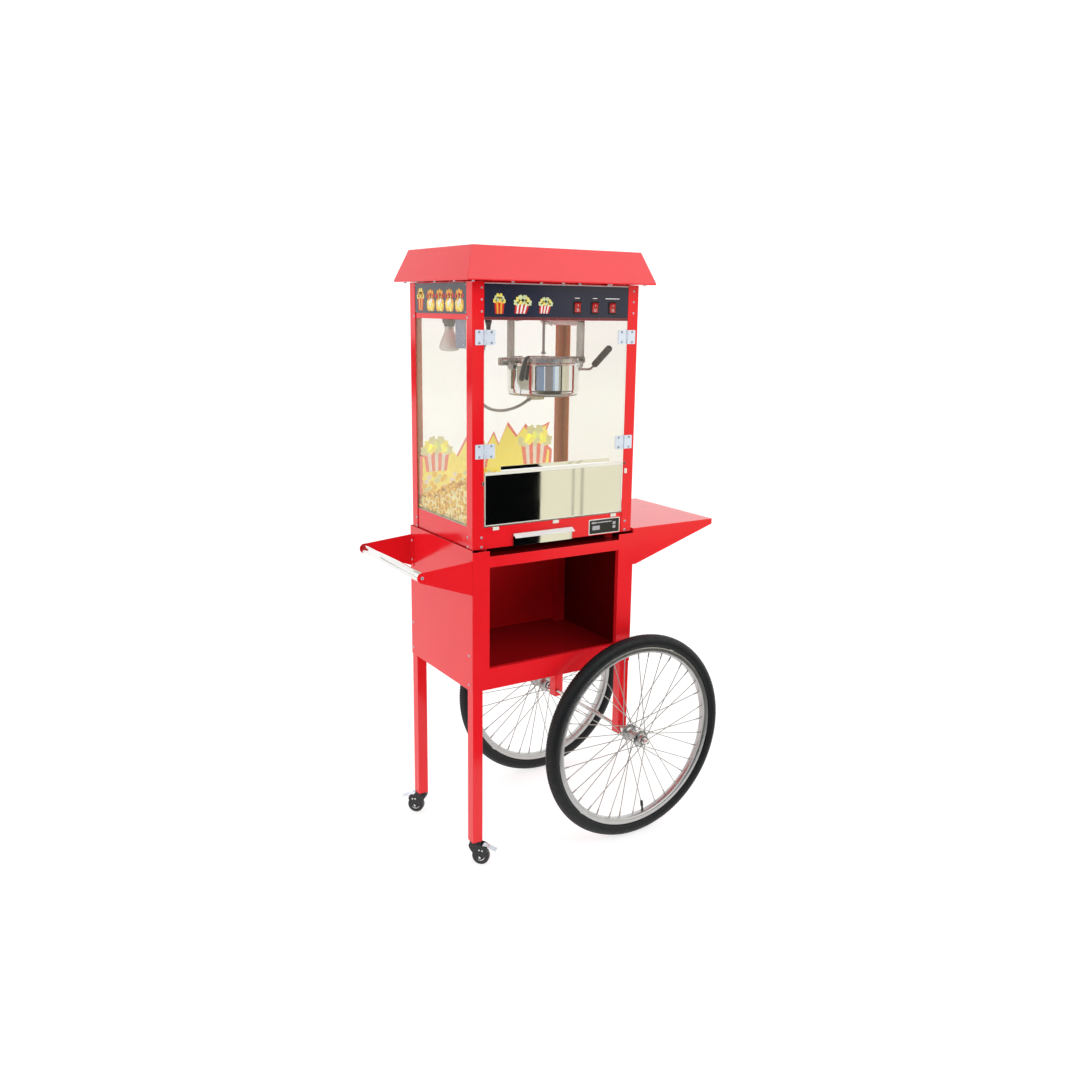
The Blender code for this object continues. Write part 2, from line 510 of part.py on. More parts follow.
# kettle -----------------------------------------------------------------------------------
def kettle():
    pivot = (KX, KY, K_AXIS)
    t = 1.6
    prof = [(0, K_BOT), (KR - 9, K_BOT), (KR - 2.5, K_BOT + 2.5), (KR, K_BOT + 9), (KR, K_RIM - 3),
            (KR + 2.6, K_RIM - 2.6), (KR + 2.6, K_RIM), (KR - t, K_RIM), (KR - t, K_BOT + 10),
            (KR - 10, K_BOT + 4), (0, K_BOT + 4)]
    ob = lathe("Z", prof, 40, (KX, KY), False)
    add(ob, box(KX - 44, KX - 4, KY - 14, KY + 14, K_BOT - 15, K_BOT + 1))
    x_bar, x_end = (KX - 101.8, KX + 112), KX + 137
    bar = box(*x_bar, KY - 12, KY + 12, K_RIM - 1.0, K_AXIS + 9)
    cut(bar, box(KX - 97, KX + 97, KY - 10.2, KY + 10.2, K_RIM - 10, K_AXIS + 7.2))
    cut(bar, cylinder("Z", 5.2, K_AXIS, K_AXIS + 20, (KX, KY), 12))
    add(bar, cylinder("X", 5.0, KX - 127, KX - 98, (KY, K_AXIS), 16),
        cylinder("X", 5.0, KX + 100, x_end, (KY, K_AXIS), 16),
        box(KX - 137, KX - 115, KY - 11, KY + 11, K_AXIS - 12, K_AXIS + 8),
        cylinder("X", 10.0, KX + 125, x_end - 3, (KY, K_AXIS), 16))
    add(ob, bar)
    rod_y, rod_z = KY + CRANK_DY, K_AXIS + CRANK_DZ
    edge = KX + math.sqrt(KR * KR - CRANK_DY * CRANK_DY)
    add(ob, box(edge - 1.2, edge + 9, rod_y - 8, rod_y + 8, rod_z - 9, rod_z + 9))
    gx, gy, gz = GRIP_DIR
    path = [(edge + 4, rod_y, rod_z), (CRANK_X - 6, rod_y, rod_z), (CRANK_X - 1, rod_y - 1.5, rod_z + 1),
            (CRANK_X, rod_y + 8 * gy, rod_z + 8 * gz), (CRANK_X, rod_y + 20 * gy, rod_z + 20 * gz)]
    add(ob, sweep(path, 3.4, 10))
    node("kettle_pan", ob, "chrome", pivot)
    start = Vector((CRANK_X, rod_y, rod_z)) + Vector(GRIP_DIR) * 20.5
    pts = [tuple(start + Vector(GRIP_DIR) * d) for d in (0, 87)]
    grip = sweep(pts, 9.6, 16)
    node("crank_grip", grip, "black", pivot)


def kettle_lids():
    z0 = K_RIM + 0.5
    for s, name in ((-1, "kettle_lid_front"), (1, "kettle_lid_rear")):
        ax_y = KY + s * 16.0
        arc = [(KX + (KR - 2) * math.cos(math.radians(a)), KY + s * (KR - 2) * math.sin(math.radians(a)))
               for a in [9.5 + k * (161 / 16) for k in range(17)]]
        ob = prism("Z", arc, z0, z0 + 1.4)
        add(ob, cylinder("X", 2.5, KX - 45, KX + 45, (ax_y, z0 + 3.2), 12))
        node(name, ob, "chrome", (KX, ax_y, z0 + 3.2))


def stirrer():
    ob = cylinder("Z", 4.0, K_BOT + 4.8, K_AXIS + 12.6, (KX, KY), 16)
    add(ob, cylinder("Z", 7.0, K_AXIS + 9.8, K_AXIS + 13.0, (KX, KY), 12))
    add(ob, box(KX - 82, KX + 82, KY - 5, KY + 5, K_BOT + 5.0, K_BOT + 8.0))
    add(ob, box(KX - 82, KX - 76, KY - 4.5, KY + 4.5, K_BOT + 6.0, K_BOT + 30.0))
    node("stirrer", ob, "steel", (KX, KY, K_AXIS))
    shaft = cylinder("Z", 4.0, K_AXIS + 17.6, Z_GLASS_TOP + 26, (KX, KY), 16)
    add(shaft, cylinder("Z", 7.0, K_AXIS + 17.2, K_AXIS + 23.0, (KX, KY), 12))
    node("drive_shaft", shaft, "steel", (KX, KY, Z_GLASS_TOP))


def gearmotor():
    z0 = Z_GLASS_TOP + 2.6
    ob = box(KX - 42, KX + 42, KY - 36, KY + 36, z0, z0 + 30)
    add(ob, cylinder("Z", 31, z0 + 29, z0 + 78, (KX, KY), 24))
    cut(ob, cylinder("Z", 4.12, z0 - 5, z0 + 26, (KX, KY), 24))
    node("gearmotor", ob, "steel")


def hangers():
    for s, reach, name in ((-1, STRAP_LEFT, "hanger_left"), (1, STRAP_RIGHT, "hanger_right")):
        xs = sorted((KX + s * reach, KX + s * (reach + STRAP_T)))
        w = STRAP_W / 2
        ob = box(*xs, KY - w, KY + w, K_AXIS - 24, Z_GLASS_TOP + 0.2)
        foot = sorted((KX + s * reach, KX + s * (reach - 22)))
        add(ob, box(foot[0], foot[1] + 0.5, KY - w + 0.05, KY + w - 0.05, Z_GLASS_TOP - 2.2, Z_GLASS_TOP + 0.15))
        cut(ob, cylinder("X", 5.15, xs[0] - 5, xs[1] + 5, (KY, K_AXIS), 16))
        node(name, ob, "steel")


def heat_lamp():
    x, y = -176.0, 100.0
    holder = [(0, 1462.0), (14.6, 1462.0), (14.6, 1470.0), (19, 1471.5), (19, Z_GLASS_TOP + 0.2),
              (0, Z_GLASS_TOP + 0.2)]
    ob = lathe("Z", holder, 20, (x, y), False)
    cut(ob, cylinder("Z", 13.2, 1455.0, 1480.0, (x, y), 20))
    node("lamp_holder", ob, "black")
    bulb = [(0, 1394.0), (18, 1395.5), (27, 1400.0), (28, 1406.0), (26, 1418.0), (16.5, 1440.0),
            (12.6, 1452.0), (12.6, 1476.0), (6, 1479.0), (0, 1479.4)]
    node("heat_lamp", lathe("Z", bulb, 24, (x, y), False), "bulb")


def kettle_cord():
    route = [(-135, Z_GLASS_TOP - 0.2), (-135.5, 1466), (-139, 1441), (-148, 1412), (-159, 1381), (-167, 1348),
             (-170, 1317), (-167, 1289), (-156, 1267), (-138, 1252.5), (-115, 1244.5), (-88, 1242.5),
             (-62, 1246), (-40, 1252.5), (-23, 1260.5), (KX - 46.0, 1270)]
    node("kettle_cord", sweep([(x, KY, z) for x, z in route], 4.0, 10), "sleeve")


def popcorn_pile():
    nx, ny = 22, 14
    x0, x1, y0, y1, z0 = -246.0, 246.0, -146.0, 166.0, Z_DECK + 2.0
    v, f = [], []
    for j in range(ny + 1):
        for i in range(nx + 1):
            u, w = i / nx, j / ny
            x, y = x0 + (x1 - x0) * u, y0 + (y1 - y0) * w
            heap = math.exp(-((x + 230) / 190) ** 2 - ((y + 130) / 210) ** 2)
            h = 20 + 88 * heap + 8 * math.sin(x * 0.047 + 1.3) * math.cos(y * 0.052)
            h += 4 * math.sin(x * 0.19) * math.sin(y * 0.21 + 0.7)
            v.append((x, y, z0 + max(h, 8)))
    row = nx + 1
    for j in range(ny):
        for i in range(nx):
            a = j * row + i
            f.append((a, a + 1, a + row + 1, a + row))
    top = len(v)
    edge = [i for i in range(nx + 1)] + [j * row + nx for j in range(1, ny + 1)]
    edge += [ny * row + i for i in range(nx - 1, -1, -1)] + [j * row for j in range(ny - 1, 0, -1)]
    for e in edge:
        v.append((v[e][0], v[e][1], z0))
    m = len(edge)
    for k in range(m):
        f.append((edge[k], top + k, top + (k + 1) % m, edge[(k + 1) % m]))
    f.append(tuple(range(top, top + m)))
    node("popcorn_pile", make("tool", v, f), "corn")


def main():
    clear_scene()
    for build in (cart_panels, cart_front_frame, cart_plates, cart_legs, side_shelf, handle, axle,
                  casters, road_wheels, posts, base_housing, popcorn_deck, crumb_drawer, header,
                  rocker_switches, roof_canopy, glazing, doors, serving_flap, kettle, kettle_lids,
                  stirrer, gearmotor, hangers, heat_lamp, kettle_cord, popcorn_pile):
        build()


main()
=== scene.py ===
"""Looks for the popcorn machine on its two-wheeled cart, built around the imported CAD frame."""
import json
import math
import random

import bmesh
import bpy
import numpy as np
from mathutils import Matrix, Vector

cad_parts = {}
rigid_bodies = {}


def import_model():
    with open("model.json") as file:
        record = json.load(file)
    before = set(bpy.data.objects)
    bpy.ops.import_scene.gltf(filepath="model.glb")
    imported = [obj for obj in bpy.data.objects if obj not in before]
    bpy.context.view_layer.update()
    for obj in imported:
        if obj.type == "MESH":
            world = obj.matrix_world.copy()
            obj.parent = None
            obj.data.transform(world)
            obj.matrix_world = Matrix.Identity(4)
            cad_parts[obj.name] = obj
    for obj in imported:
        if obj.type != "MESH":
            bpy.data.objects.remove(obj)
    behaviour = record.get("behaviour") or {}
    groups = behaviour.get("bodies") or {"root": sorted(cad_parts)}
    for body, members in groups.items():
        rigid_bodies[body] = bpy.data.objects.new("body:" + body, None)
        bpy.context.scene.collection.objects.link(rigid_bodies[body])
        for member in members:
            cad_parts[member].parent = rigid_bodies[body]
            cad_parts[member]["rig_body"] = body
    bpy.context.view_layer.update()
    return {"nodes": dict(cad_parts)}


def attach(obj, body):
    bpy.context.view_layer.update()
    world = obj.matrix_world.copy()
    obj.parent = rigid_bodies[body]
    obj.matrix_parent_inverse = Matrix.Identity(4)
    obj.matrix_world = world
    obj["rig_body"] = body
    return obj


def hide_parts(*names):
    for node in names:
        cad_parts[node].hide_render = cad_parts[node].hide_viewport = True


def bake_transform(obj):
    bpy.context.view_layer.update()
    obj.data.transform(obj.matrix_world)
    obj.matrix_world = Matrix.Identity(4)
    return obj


MM = 0.001
X_OFF = -68.0
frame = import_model()
nodes = frame["nodes"]


def P(x, y, z):
    """Machine-centred millimetres to the row frame."""
    return Vector(((x + X_OFF) * MM, y * MM, z * MM))


# camera, stage and light ------------------------------------------------------------------
CAM_AT = (-1.54664, -2.44032, 1.51423)
CAM_YAW, CAM_PITCH, CAM_ROLL, CAM_LENS = 32.3009, -12.8323, 0.8262, 33.923


def set_camera():
    yaw, pitch, roll = (math.radians(a) for a in (CAM_YAW, CAM_PITCH, CAM_ROLL))
    fwd = Vector((math.sin(yaw) * math.cos(pitch), math.cos(yaw) * math.cos(pitch), math.sin(pitch)))
    right = Vector((math.cos(yaw), -math.sin(yaw), 0.0))
    up = right.cross(fwd)
    r2 = right * math.cos(roll) + up * math.sin(roll)
    u2 = up * math.cos(roll) - right * math.sin(roll)
    data = bpy.data.cameras.new("view")
    data.lens, data.sensor_width, data.clip_end = CAM_LENS, 36.0, 60.0
    cam = bpy.data.objects.new("view", data)
    turn = Matrix((r2, u2, -fwd)).transposed().to_4x4()
    cam.matrix_world = Matrix.Translation(Vector(CAM_AT)) @ turn
    bpy.context.scene.collection.objects.link(cam)
    bpy.context.scene.camera = cam


FRONT_CARDS_Y = -3.2
FLAP_SPLIT_X, FLOOR_SPLIT_X = 1.793, 1.42
STRIPES = ((2.023, 2.042), (2.089, 2.112))
KETTLE_CARDS = ((-4.15, -1.76, (0.42, 0.64, 1.0), 0.50), (-1.76, -1.55, (0.85, 0.92, 1.0), 1.0),
                (-1.55, -0.10, (1.0, 0.95, 1.0), 0.26), (-0.10, 0.25, (0.55, 0.75, 1.0), 0.75),
                (0.25, 1.03, (0.80, 0.92, 1.0), 1.0), (1.10, 1.40, (1.0, 0.93, 0.72), 0.6))


def area(name, at, aim, size, power, colour=(1, 1, 1)):
    data = bpy.data.lights.new(name, "AREA")
    data.shape, data.size, data.size_y = "RECTANGLE", size[0], size[1]
    data.energy, data.color = power, colour
    ob = bpy.data.objects.new(name, data)
    way = Vector(aim) - Vector(at)
    ob.matrix_world = Matrix.Translation(Vector(at)) @ way.to_track_quat("-Z", "Y").to_matrix().to_4x4()
    bpy.context.scene.collection.objects.link(ob)
    return ob


def stage_mesh(name, verts, faces, mat):
    mesh = bpy.data.meshes.new(name)
    mesh.from_pydata(verts, [], faces)
    mesh.materials.append(mat)
    ob = bpy.data.objects.new(name, mesh)
    bpy.context.scene.collection.objects.link(ob)
    return ob


def glow(name, colour, strength):
    mat = bpy.data.materials.new(name)
    mat.use_nodes = True
    nt = mat.node_tree
    nt.nodes.clear()
    out = nt.nodes.new("ShaderNodeOutputMaterial")
    em = nt.nodes.new("ShaderNodeEmission")
    em.inputs["Color"].default_value = (*colour, 1)
    em.inputs["Strength"].default_value = strength
    nt.links.new(em.outputs[0], out.inputs["Surface"])
    return mat


def card(name, corners, colour, strength, diffuse=False):
    """Plain card that only reflections see; with diffuse set it lights matt surfaces as well."""
    ob = stage_mesh(name, corners, [(0, 1, 2, 3)], glow(name, colour, strength))
    ob.visible_camera = ob.visible_shadow = ob.visible_transmission = False
    ob.visible_diffuse = diffuse


def upright(x0, x1, y, z0, z1):
    return [(x0, y, z0), (x1, y, z0), (x1, y, z1), (x0, y, z1)]


def lying(x0, x1):
    y0, y1, z = FRONT_CARDS_Y, -0.75, 0.004
    return [(x0, y0, z), (x1, y0, z), (x1, y1, z), (x0, y1, z)]


def set_stage():
    world = bpy.data.worlds.new("studio")
    world.use_nodes = True
    bg = world.node_tree.nodes["Background"]
    bg.inputs["Color"].default_value = (0.97, 0.985, 1.0, 1)
    bg.inputs["Strength"].default_value = 0.45
    bpy.context.scene.world = world
    bpy.context.scene.view_settings.view_transform = "Standard"

    floor = bpy.data.materials.new("floor_paper")
    floor.use_nodes = True
    nt = floor.node_tree
    bsdf = nt.nodes["Principled BSDF"]
    bsdf.inputs["Base Color"].default_value = (0.45, 0.45, 0.45, 1)
    bsdf.inputs["Roughness"].default_value = 0.9
    bsdf.inputs["Specular IOR Level"].default_value = 0.1
    bsdf.inputs["Emission Color"].default_value = (1, 1, 1, 1)
    bsdf.inputs["Emission Strength"].default_value = 0.70
    verts, faces, n = [(0.0, 0.0, -0.0004)], [], 72
    prof = [(4.6, 0.0)] + [(4.6 + 1.6 * math.sin(t), 1.6 - 1.6 * math.cos(t)) for t in
                           [math.radians(9 * k) for k in range(1, 11)]] + [(6.2, 9.0)]
    for r, z in prof:
        verts += [(r * math.cos(2 * math.pi * i / n), r * math.sin(2 * math.pi * i / n), z - 0.0004)
                  for i in range(n)]
    faces += [(0, 1 + i, 1 + (i + 1) % n) for i in range(n)]
    for k in range(len(prof) - 1):
        for i in range(n):
            a, b = 1 + k * n + i, 1 + k * n + (i + 1) % n
            faces.append((a, a + n, b + n, b))
    sweep = stage_mesh("paper_cove", verts, faces, floor)
    for poly in sweep.data.polygons:
        poly.use_smooth = True

    y = FRONT_CARDS_Y
    card("card_front_dark", upright(-6, FLAP_SPLIT_X, y, -0.1, 2.2), (0.8, 0.9, 1.0), 0.002, True)
    card("card_front_cream", upright(FLAP_SPLIT_X, 5, y, -0.1, 1.75), (1.0, 0.955, 0.72), 0.84, True)
    for x0, x1 in STRIPES:
        card("card_stripe_%d" % (1000 * x0), upright(x0, x1, y + 0.01, 0.0, 1.75), (1.0, 0.95, 0.74), 0.5)
    card("card_floor_dark", lying(-3.0, FLOOR_SPLIT_X), (0.8, 0.9, 1.0), 0.01)
    card("card_floor_warm", lying(FLOOR_SPLIT_X, 4.0), (1.0, 0.95, 0.85), 0.20)
    card("card_back_left", upright(-5.5, -1.6, 3.6, 0.95, 1.30), (0.9, 1.0, 1.0), 0.05)
    for x0, x1, colour, strength in KETTLE_CARDS:
        card("card_kettle_%d" % round(-100 * x0), upright(x0, x1, y + 0.02, 0.9, 1.5), colour, strength)
    wall = [(-4.5, -2.4, 0.95), (-4.5, 3.0, 0.95), (-4.5, 3.0, 1.45), (-4.5, -2.4, 1.45)]
    card("card_left_beige", wall, (1.0, 0.94, 0.72), 0.45)
    area("key_top", (0.9, -3.1, 3.7), (0.0, 0.0, 1.2), (4.6, 1.6), 39)
    low = area("front_low", (0.9, -3.5, 0.35), (0.0, 0.0, 0.35), (2.6, 0.6), 25)
    low.visible_glossy = False
    area("left_soft", (-4.2, 0.4, 2.6), (0.0, 0.0, 1.0), (3.4, 2.2), 6, (0.94, 0.97, 1.0))
    area("overhead", (0.0, 0.2, 4.4), (0.0, 0.0, 0.0), (4.0, 4.0), 12)


# materials --------------------------------------------------------------------------------
def material(name, colour, metallic=0.0, rough=0.3, rough_var=0.05, rough_scale=30.0, bump=0.0,
             bump_scale=400.0, tone=0.04, tone_scale=9.0, coat=0.0, spec=0.5, stretch=(1, 1, 1),
             alpha=None):
    """Principled surface whose tone, gloss and grain vary through object-space noise."""
    mat = bpy.data.materials.new(name)
    mat.use_nodes = True
    nt = mat.node_tree
    put = nt.nodes["Principled BSDF"].inputs
    put["Metallic"].default_value = metallic
    put["IOR"].default_value = 1.5
    put["Specular IOR Level"].default_value = spec
    put["Coat Weight"].default_value = coat
    put["Coat Roughness"].default_value = 0.05
    coord = nt.nodes.new("ShaderNodeTexCoord")
    shape = nt.nodes.new("ShaderNodeMapping")
    shape.inputs["Scale"].default_value = stretch
    nt.links.new(coord.outputs["Object"], shape.inputs["Vector"])

    def noise(scale, detail=3.0):
        n = nt.nodes.new("ShaderNodeTexNoise")
        n.inputs["Scale"].default_value = scale
        n.inputs["Detail"].default_value = detail
        nt.links.new(shape.outputs["Vector"], n.inputs["Vector"])
        return n

    tones = noise(tone_scale)
    ramp = nt.nodes.new("ShaderNodeValToRGB")
    low = [max(0.0, c * (1 - tone)) for c in colour]
    high = [min(1.0, c * (1 + tone)) for c in colour]
    ramp.color_ramp.elements[0].position = 0.3
    ramp.color_ramp.elements[1].position = 0.7
    ramp.color_ramp.elements[0].color = (*low, 1)
    ramp.color_ramp.elements[1].color = (*high, 1)
    nt.links.new(tones.outputs["Fac"], ramp.inputs["Fac"])
    nt.links.new(ramp.outputs["Color"], put["Base Color"])
    gloss = noise(rough_scale)
    span = nt.nodes.new("ShaderNodeMapRange")
    span.inputs["From Min"].default_value = 0.3
    span.inputs["From Max"].default_value = 0.7
    span.inputs["To Min"].default_value = max(0.02, rough - rough_var)
    span.inputs["To Max"].default_value = rough + rough_var
    nt.links.new(gloss.outputs["Fac"], span.inputs["Value"])
    nt.links.new(span.outputs["Result"], put["Roughness"])
    if bump > 0:
        grain = noise(bump_scale, 2.0)
        lift = nt.nodes.new("ShaderNodeBump")
        lift.inputs["Strength"].default_value = 1.0
        lift.inputs["Distance"].default_value = bump
        nt.links.new(grain.outputs["Fac"], lift.inputs["Height"])
        nt.links.new(lift.outputs["Normal"], put["Normal"])
    if alpha is not None:
        base, edge = alpha
        facing = nt.nodes.new("ShaderNodeLayerWeight")
        facing.inputs["Blend"].default_value = 0.35
        spread = nt.nodes.new("ShaderNodeMapRange")
        spread.inputs["To Min"].default_value = base
        spread.inputs["To Max"].default_value = edge
        nt.links.new(facing.outputs["Fresnel"], spread.inputs["Value"])
        nt.links.new(spread.outputs["Result"], put["Alpha"])
    return mat


RED = (0.82, 0.0115, 0.019)


def kernel_material():
    """Popped corn: cream lobes, yellow creases and brown hull, from values kept on the mesh. The creases are
    darkened partly as painted shade in the folds between lobes, over the corn's own yellow there.
    """
    mat = bpy.data.materials.new("popped_kernel")
    mat.use_nodes = True
    nt = mat.node_tree
    bsdf = nt.nodes["Principled BSDF"]
    bsdf.inputs["Specular IOR Level"].default_value = 0.3

    def attribute(name):
        n = nt.nodes.new("ShaderNodeAttribute")
        n.attribute_name = name
        return n.outputs["Fac"]

    def blend(fac, a, b):
        n = nt.nodes.new("ShaderNodeMix")
        n.data_type = "RGBA"
        nt.links.new(fac, n.inputs[0])
        for sock, val in ((n.inputs[6], a), (n.inputs[7], b)):
            if isinstance(val, tuple):
                sock.default_value = (*val, 1)
            else:
                nt.links.new(val, sock)
        return n.outputs[2]

    coord = nt.nodes.new("ShaderNodeTexCoord")
    fine = nt.nodes.new("ShaderNodeTexNoise")
    fine.inputs["Scale"].default_value = 240.0
    fine.inputs["Detail"].default_value = 3.0
    nt.links.new(coord.outputs["Object"], fine.inputs["Vector"])
    lobe = blend(attribute("tint"), (1.0, 0.86, 0.24), (0.94, 0.57, 0.04))
    crease_shade = blend(fine.outputs["Fac"], (0.72, 0.31, 0.02), (0.52, 0.18, 0.015))
    body = blend(attribute("crease_shade"), lobe, crease_shade)
    hull = blend(fine.outputs["Fac"], (0.26, 0.07, 0.012), (0.50, 0.19, 0.03))
    nt.links.new(blend(attribute("hull"), body, hull), bsdf.inputs["Base Color"])
    span = nt.nodes.new("ShaderNodeMapRange")
    span.inputs["To Min"].default_value = 0.45
    span.inputs["To Max"].default_value = 0.75
    nt.links.new(fine.outputs["Fac"], span.inputs["Value"])
    nt.links.new(span.outputs["Result"], bsdf.inputs["Roughness"])
    lift = nt.nodes.new("ShaderNodeBump")
    lift.inputs["Distance"].default_value = 0.0008
    lift.inputs["Strength"].default_value = 1.0
    nt.links.new(fine.outputs["Fac"], lift.inputs["Height"])
    nt.links.new(lift.outputs["Normal"], bsdf.inputs["Normal"])
    return mat


def ink(name, colour):
    return material(name, colour, rough=0.28, rough_var=0.06, rough_scale=80, bump=0.00002, bump_scale=900,
                    tone=0.07, tone_scale=45)


def glowing_film(name, colour, glow):
    """Ink on clear film with an emission glow in its own colour: painted light standing in for the white
    backdrop shining through it.
    """
    mat = ink(name, colour)
    put = mat.node_tree.nodes["Principled BSDF"].inputs
    put["Emission Color"].default_value = (*colour, 1)
    put["Emission Strength"].default_value = glow
    return mat


# Darker copies of the red coat: painted shade, not a different paint.
def painted_shade_red(name, shade_factor):
    return material(name, [shade_factor * c for c in RED], rough=0.2, rough_var=0.04, bump=0.00002, bump_scale=260,
                    tone=0.03, spec=0.3)


M = {
    "red": material("red_powder_coat", RED, rough=0.13, rough_var=0.03, bump=0.00002, bump_scale=260,
                    tone=0.02, spec=0.45),
    "navy": material("navy_panel", (0.018, 0.021, 0.045), rough=0.16, bump=0.00002, bump_scale=500),
    "slate": material("slate_panel", (0.055, 0.06, 0.075), rough=0.2, bump=0.00002, bump_scale=500),
    "zinc": material("plated_steel", (0.70, 0.74, 0.80), 1.0, 0.22, 0.06, 120, 0.00001, 600, 0.06, 40),
    "chrome": material("polished_steel", (0.80, 0.79, 0.77), 1.0, 0.06, 0.02, 60, 0.0, 400, 0.03, 20),
    "mirror": material("mirror_steel", (0.92, 0.92, 0.90), 1.0, 0.025, 0.008, 25, 0.0, 400, 0.02, 6),
    "brushed": material("brushed_steel", (0.52, 0.51, 0.49), 1.0, 0.30, 0.06, 220, 0.000015, 300,
                        0.06, 60, stretch=(1, 1, 0.06)),
    "alloy": material("alloy", (0.53, 0.53, 0.52), 1.0, 0.32, 0.05, 90, 0.00001, 500, 0.04, 30),
    "clear": material("clear_sheet", (0.92, 0.88, 0.74), 0.0, 0.03, 0.01, 12, alpha=(0.02, 0.17)),
    "clear_far": material("far_sheet", (0.72, 0.73, 0.32), 0.0, 0.03, 0.01, 12, alpha=(0.15, 0.24)),
    "tyre": material("tyre_rubber", (0.0055, 0.0065, 0.0075), 0.0, 0.55, 0.08, 90, 0.00006, 700, 0.2, 50,
                     spec=0.35),
    "rubber": material("hard_rubber", (0.012, 0.012, 0.012), 0.0, 0.35, 0.06, 90, 0.00003, 500, 0.2, 50),
    "black": material("black_part", (0.011, 0.011, 0.012), 0.0, 0.38, 0.06, 120, 0.00003, 600, 0.2, 40),
    "switch": material("switch_red", (0.42, 0.004, 0.008), 0.0, 0.12, 0.03, 60, coat=0.4),
    "bulb": material("lamp_glass", (0.62, 0.62, 0.58), 0.0, 0.16, 0.04, 60, coat=0.3),
    "corn": material("popped_corn", (0.90, 0.76, 0.36), 0.0, 0.6, 0.1, 100, 0.0003, 300, 0.2, 60),
    "sleeve": material("woven_sleeve", (0.30, 0.29, 0.26), 0.0, 0.5, 0.08, 300, 0.0001, 1200, 0.2, 300),
    "cream": material("cream_edge", (0.80, 0.78, 0.68), 0.0, 0.35, 0.05, 80),
    "brushed_rod": material("brushed_rod", (0.66, 0.65, 0.63), 1.0, 0.22, 0.05, 160, 0.00001, 260, 0.06, 50,
                            stretch=(1, 0.05, 1)),
    "brushed_flat": material("brushed_flat", (0.55, 0.54, 0.52), 1.0, 0.28, 0.06, 160, 0.00001, 260, 0.06, 50,
                             stretch=(0.05, 1, 1)),
    "bright": material("bright_lip", (0.93, 0.94, 0.92), 0.25, 0.18, 0.03, 60, 0.0, 300, 0.02, 20),
    "kettle_steel": material("kettle_steel", (0.74, 0.73, 0.71), 1.0, 0.05, 0.02, 50, 0.000004, 90, 0.03, 20),
    "rivet": material("pale_rivet", (0.82, 0.82, 0.80), 0.6, 0.25, 0.05, 200),
    "pale_hub": material("pale_hub", (0.72, 0.71, 0.67), 0.0, 0.35, 0.06, 150, 0.00002, 600),
    "pale_strip": material("pale_strip", (0.62, 0.60, 0.62), 0.3, 0.3, 0.05, 100),
    "zinc_pale": material("zinc_pale", (0.66, 0.71, 0.80), 0.45, 0.28, 0.05, 180, 0.0, 600, 0.05, 60),
    "hinge_zinc": material("hinge_zinc", (0.72, 0.79, 0.90), 0.15, 0.30, 0.03, 40, 0.0, 600, 0.02, 12),
    # painted shade: darker reds for the cart's insides and for the gap under the machine
    "red_shade_painted": painted_shade_red("red_painted_shade_coat", 0.42),
    "red_deep_shade_painted": painted_shade_red("red_painted_gap_shadow", 0.16),
    "maroon": material("maroon_rail", (0.16, 0.03, 0.035), 0.0, 0.25, 0.05, 60),
    "dark_screw_and_recess_shade": material("dark_screw_and_painted_recess", (0.12, 0.12, 0.13), 0.6, 0.4, 0.08, 200),
    "black_gloss": material("black_gloss", (0.010, 0.010, 0.011), 0.0, 0.12, 0.03, 60),
    "grip_black": material("grip_black", (0.035, 0.034, 0.030), 0.0, 0.42, 0.08, 200, 0.00005, 500, 0.2, 80),
    "brass_box": material("terminal_box", (0.72, 0.66, 0.45), 0.55, 0.3, 0.06, 120, 0.00001, 500),
    "blue_plate": material("blue_plate", (0.22, 0.28, 0.40), 0.8, 0.3, 0.06, 90, 0.00001, 400),
    "print_white": ink("print_white", (0.86, 0.85, 0.80)),
    "print_red": ink("print_red", (0.62, 0.02, 0.02)),
    "print_corn": ink("print_corn", (0.90, 0.78, 0.16)),
    "print_gold": ink("print_gold", (0.80, 0.40, 0.03)),
    "print_green": ink("print_green", (0.62, 0.72, 0.38)),
    "print_pink": ink("print_pink", (0.85, 0.30, 0.26)),
    "print_grey": ink("print_grey", (0.42, 0.42, 0.44)),
    # the film inks glow a little: painted backlight on the rear glass print
    "film_white": glowing_film("film_white", (0.88, 0.86, 0.72), 0.25),
    "film_corn": glowing_film("film_corn", (0.90, 0.84, 0.19), 0.36),
    "film_gold": glowing_film("film_gold", (0.88, 0.62, 0.12), 0.26),
    "film_green": glowing_film("film_green", (0.74, 0.78, 0.42), 0.26),
    "film_pink": glowing_film("film_pink", (0.86, 0.27, 0.20), 0.28),
    "grey_steel": material("grey_steel", (0.40, 0.40, 0.37), 0.55, 0.32, 0.05, 120, 0.00001, 400, 0.05, 50),
    "kernel": kernel_material(),
}


# mesh helpers -----------------------------------------------------------------------------
class Geo:
    """Closed chunks in machine millimetres, each with its own material number."""

    def __init__(self):
        self.v, self.f, self.m = [], [], []

    def add(self, chunk, mat=0, turn=None):
        verts, faces = chunk
        base = len(self.v)
        for p in verts:
            p = Vector(p)
            self.v.append(turn @ p if turn is not None else p)
        self.f += [tuple(base + i for i in face) for face in faces]
        self.m += [mat] * len(faces)
        return self


def place(axis, a, b, h):
    return {"X": (h, a, b), "Y": (a, h, b), "Z": (a, b, h)}[axis]


def box(x0, x1, y0, y1, z0, z1):
    x0, x1 = sorted((x0, x1))
    y0, y1 = sorted((y0, y1))
    z0, z1 = sorted((z0, z1))
    v = [(x, y, z) for x in (x0, x1) for y in (y0, y1) for z in (z0, z1)]
    f = [(0, 1, 3, 2), (4, 6, 7, 5), (0, 4, 5, 1), (2, 3, 7, 6), (0, 2, 6, 4), (1, 5, 7, 3)]
    return v, f


def prism(axis, pts, h0, h1):
    n = len(pts)
    v = [place(axis, a, b, h) for h in (h0, h1) for a, b in pts]
    f = [tuple(range(n)), tuple(range(n, 2 * n))]
    f += [(i, (i + 1) % n, n + (i + 1) % n, n + i) for i in range(n)]
    return v, f


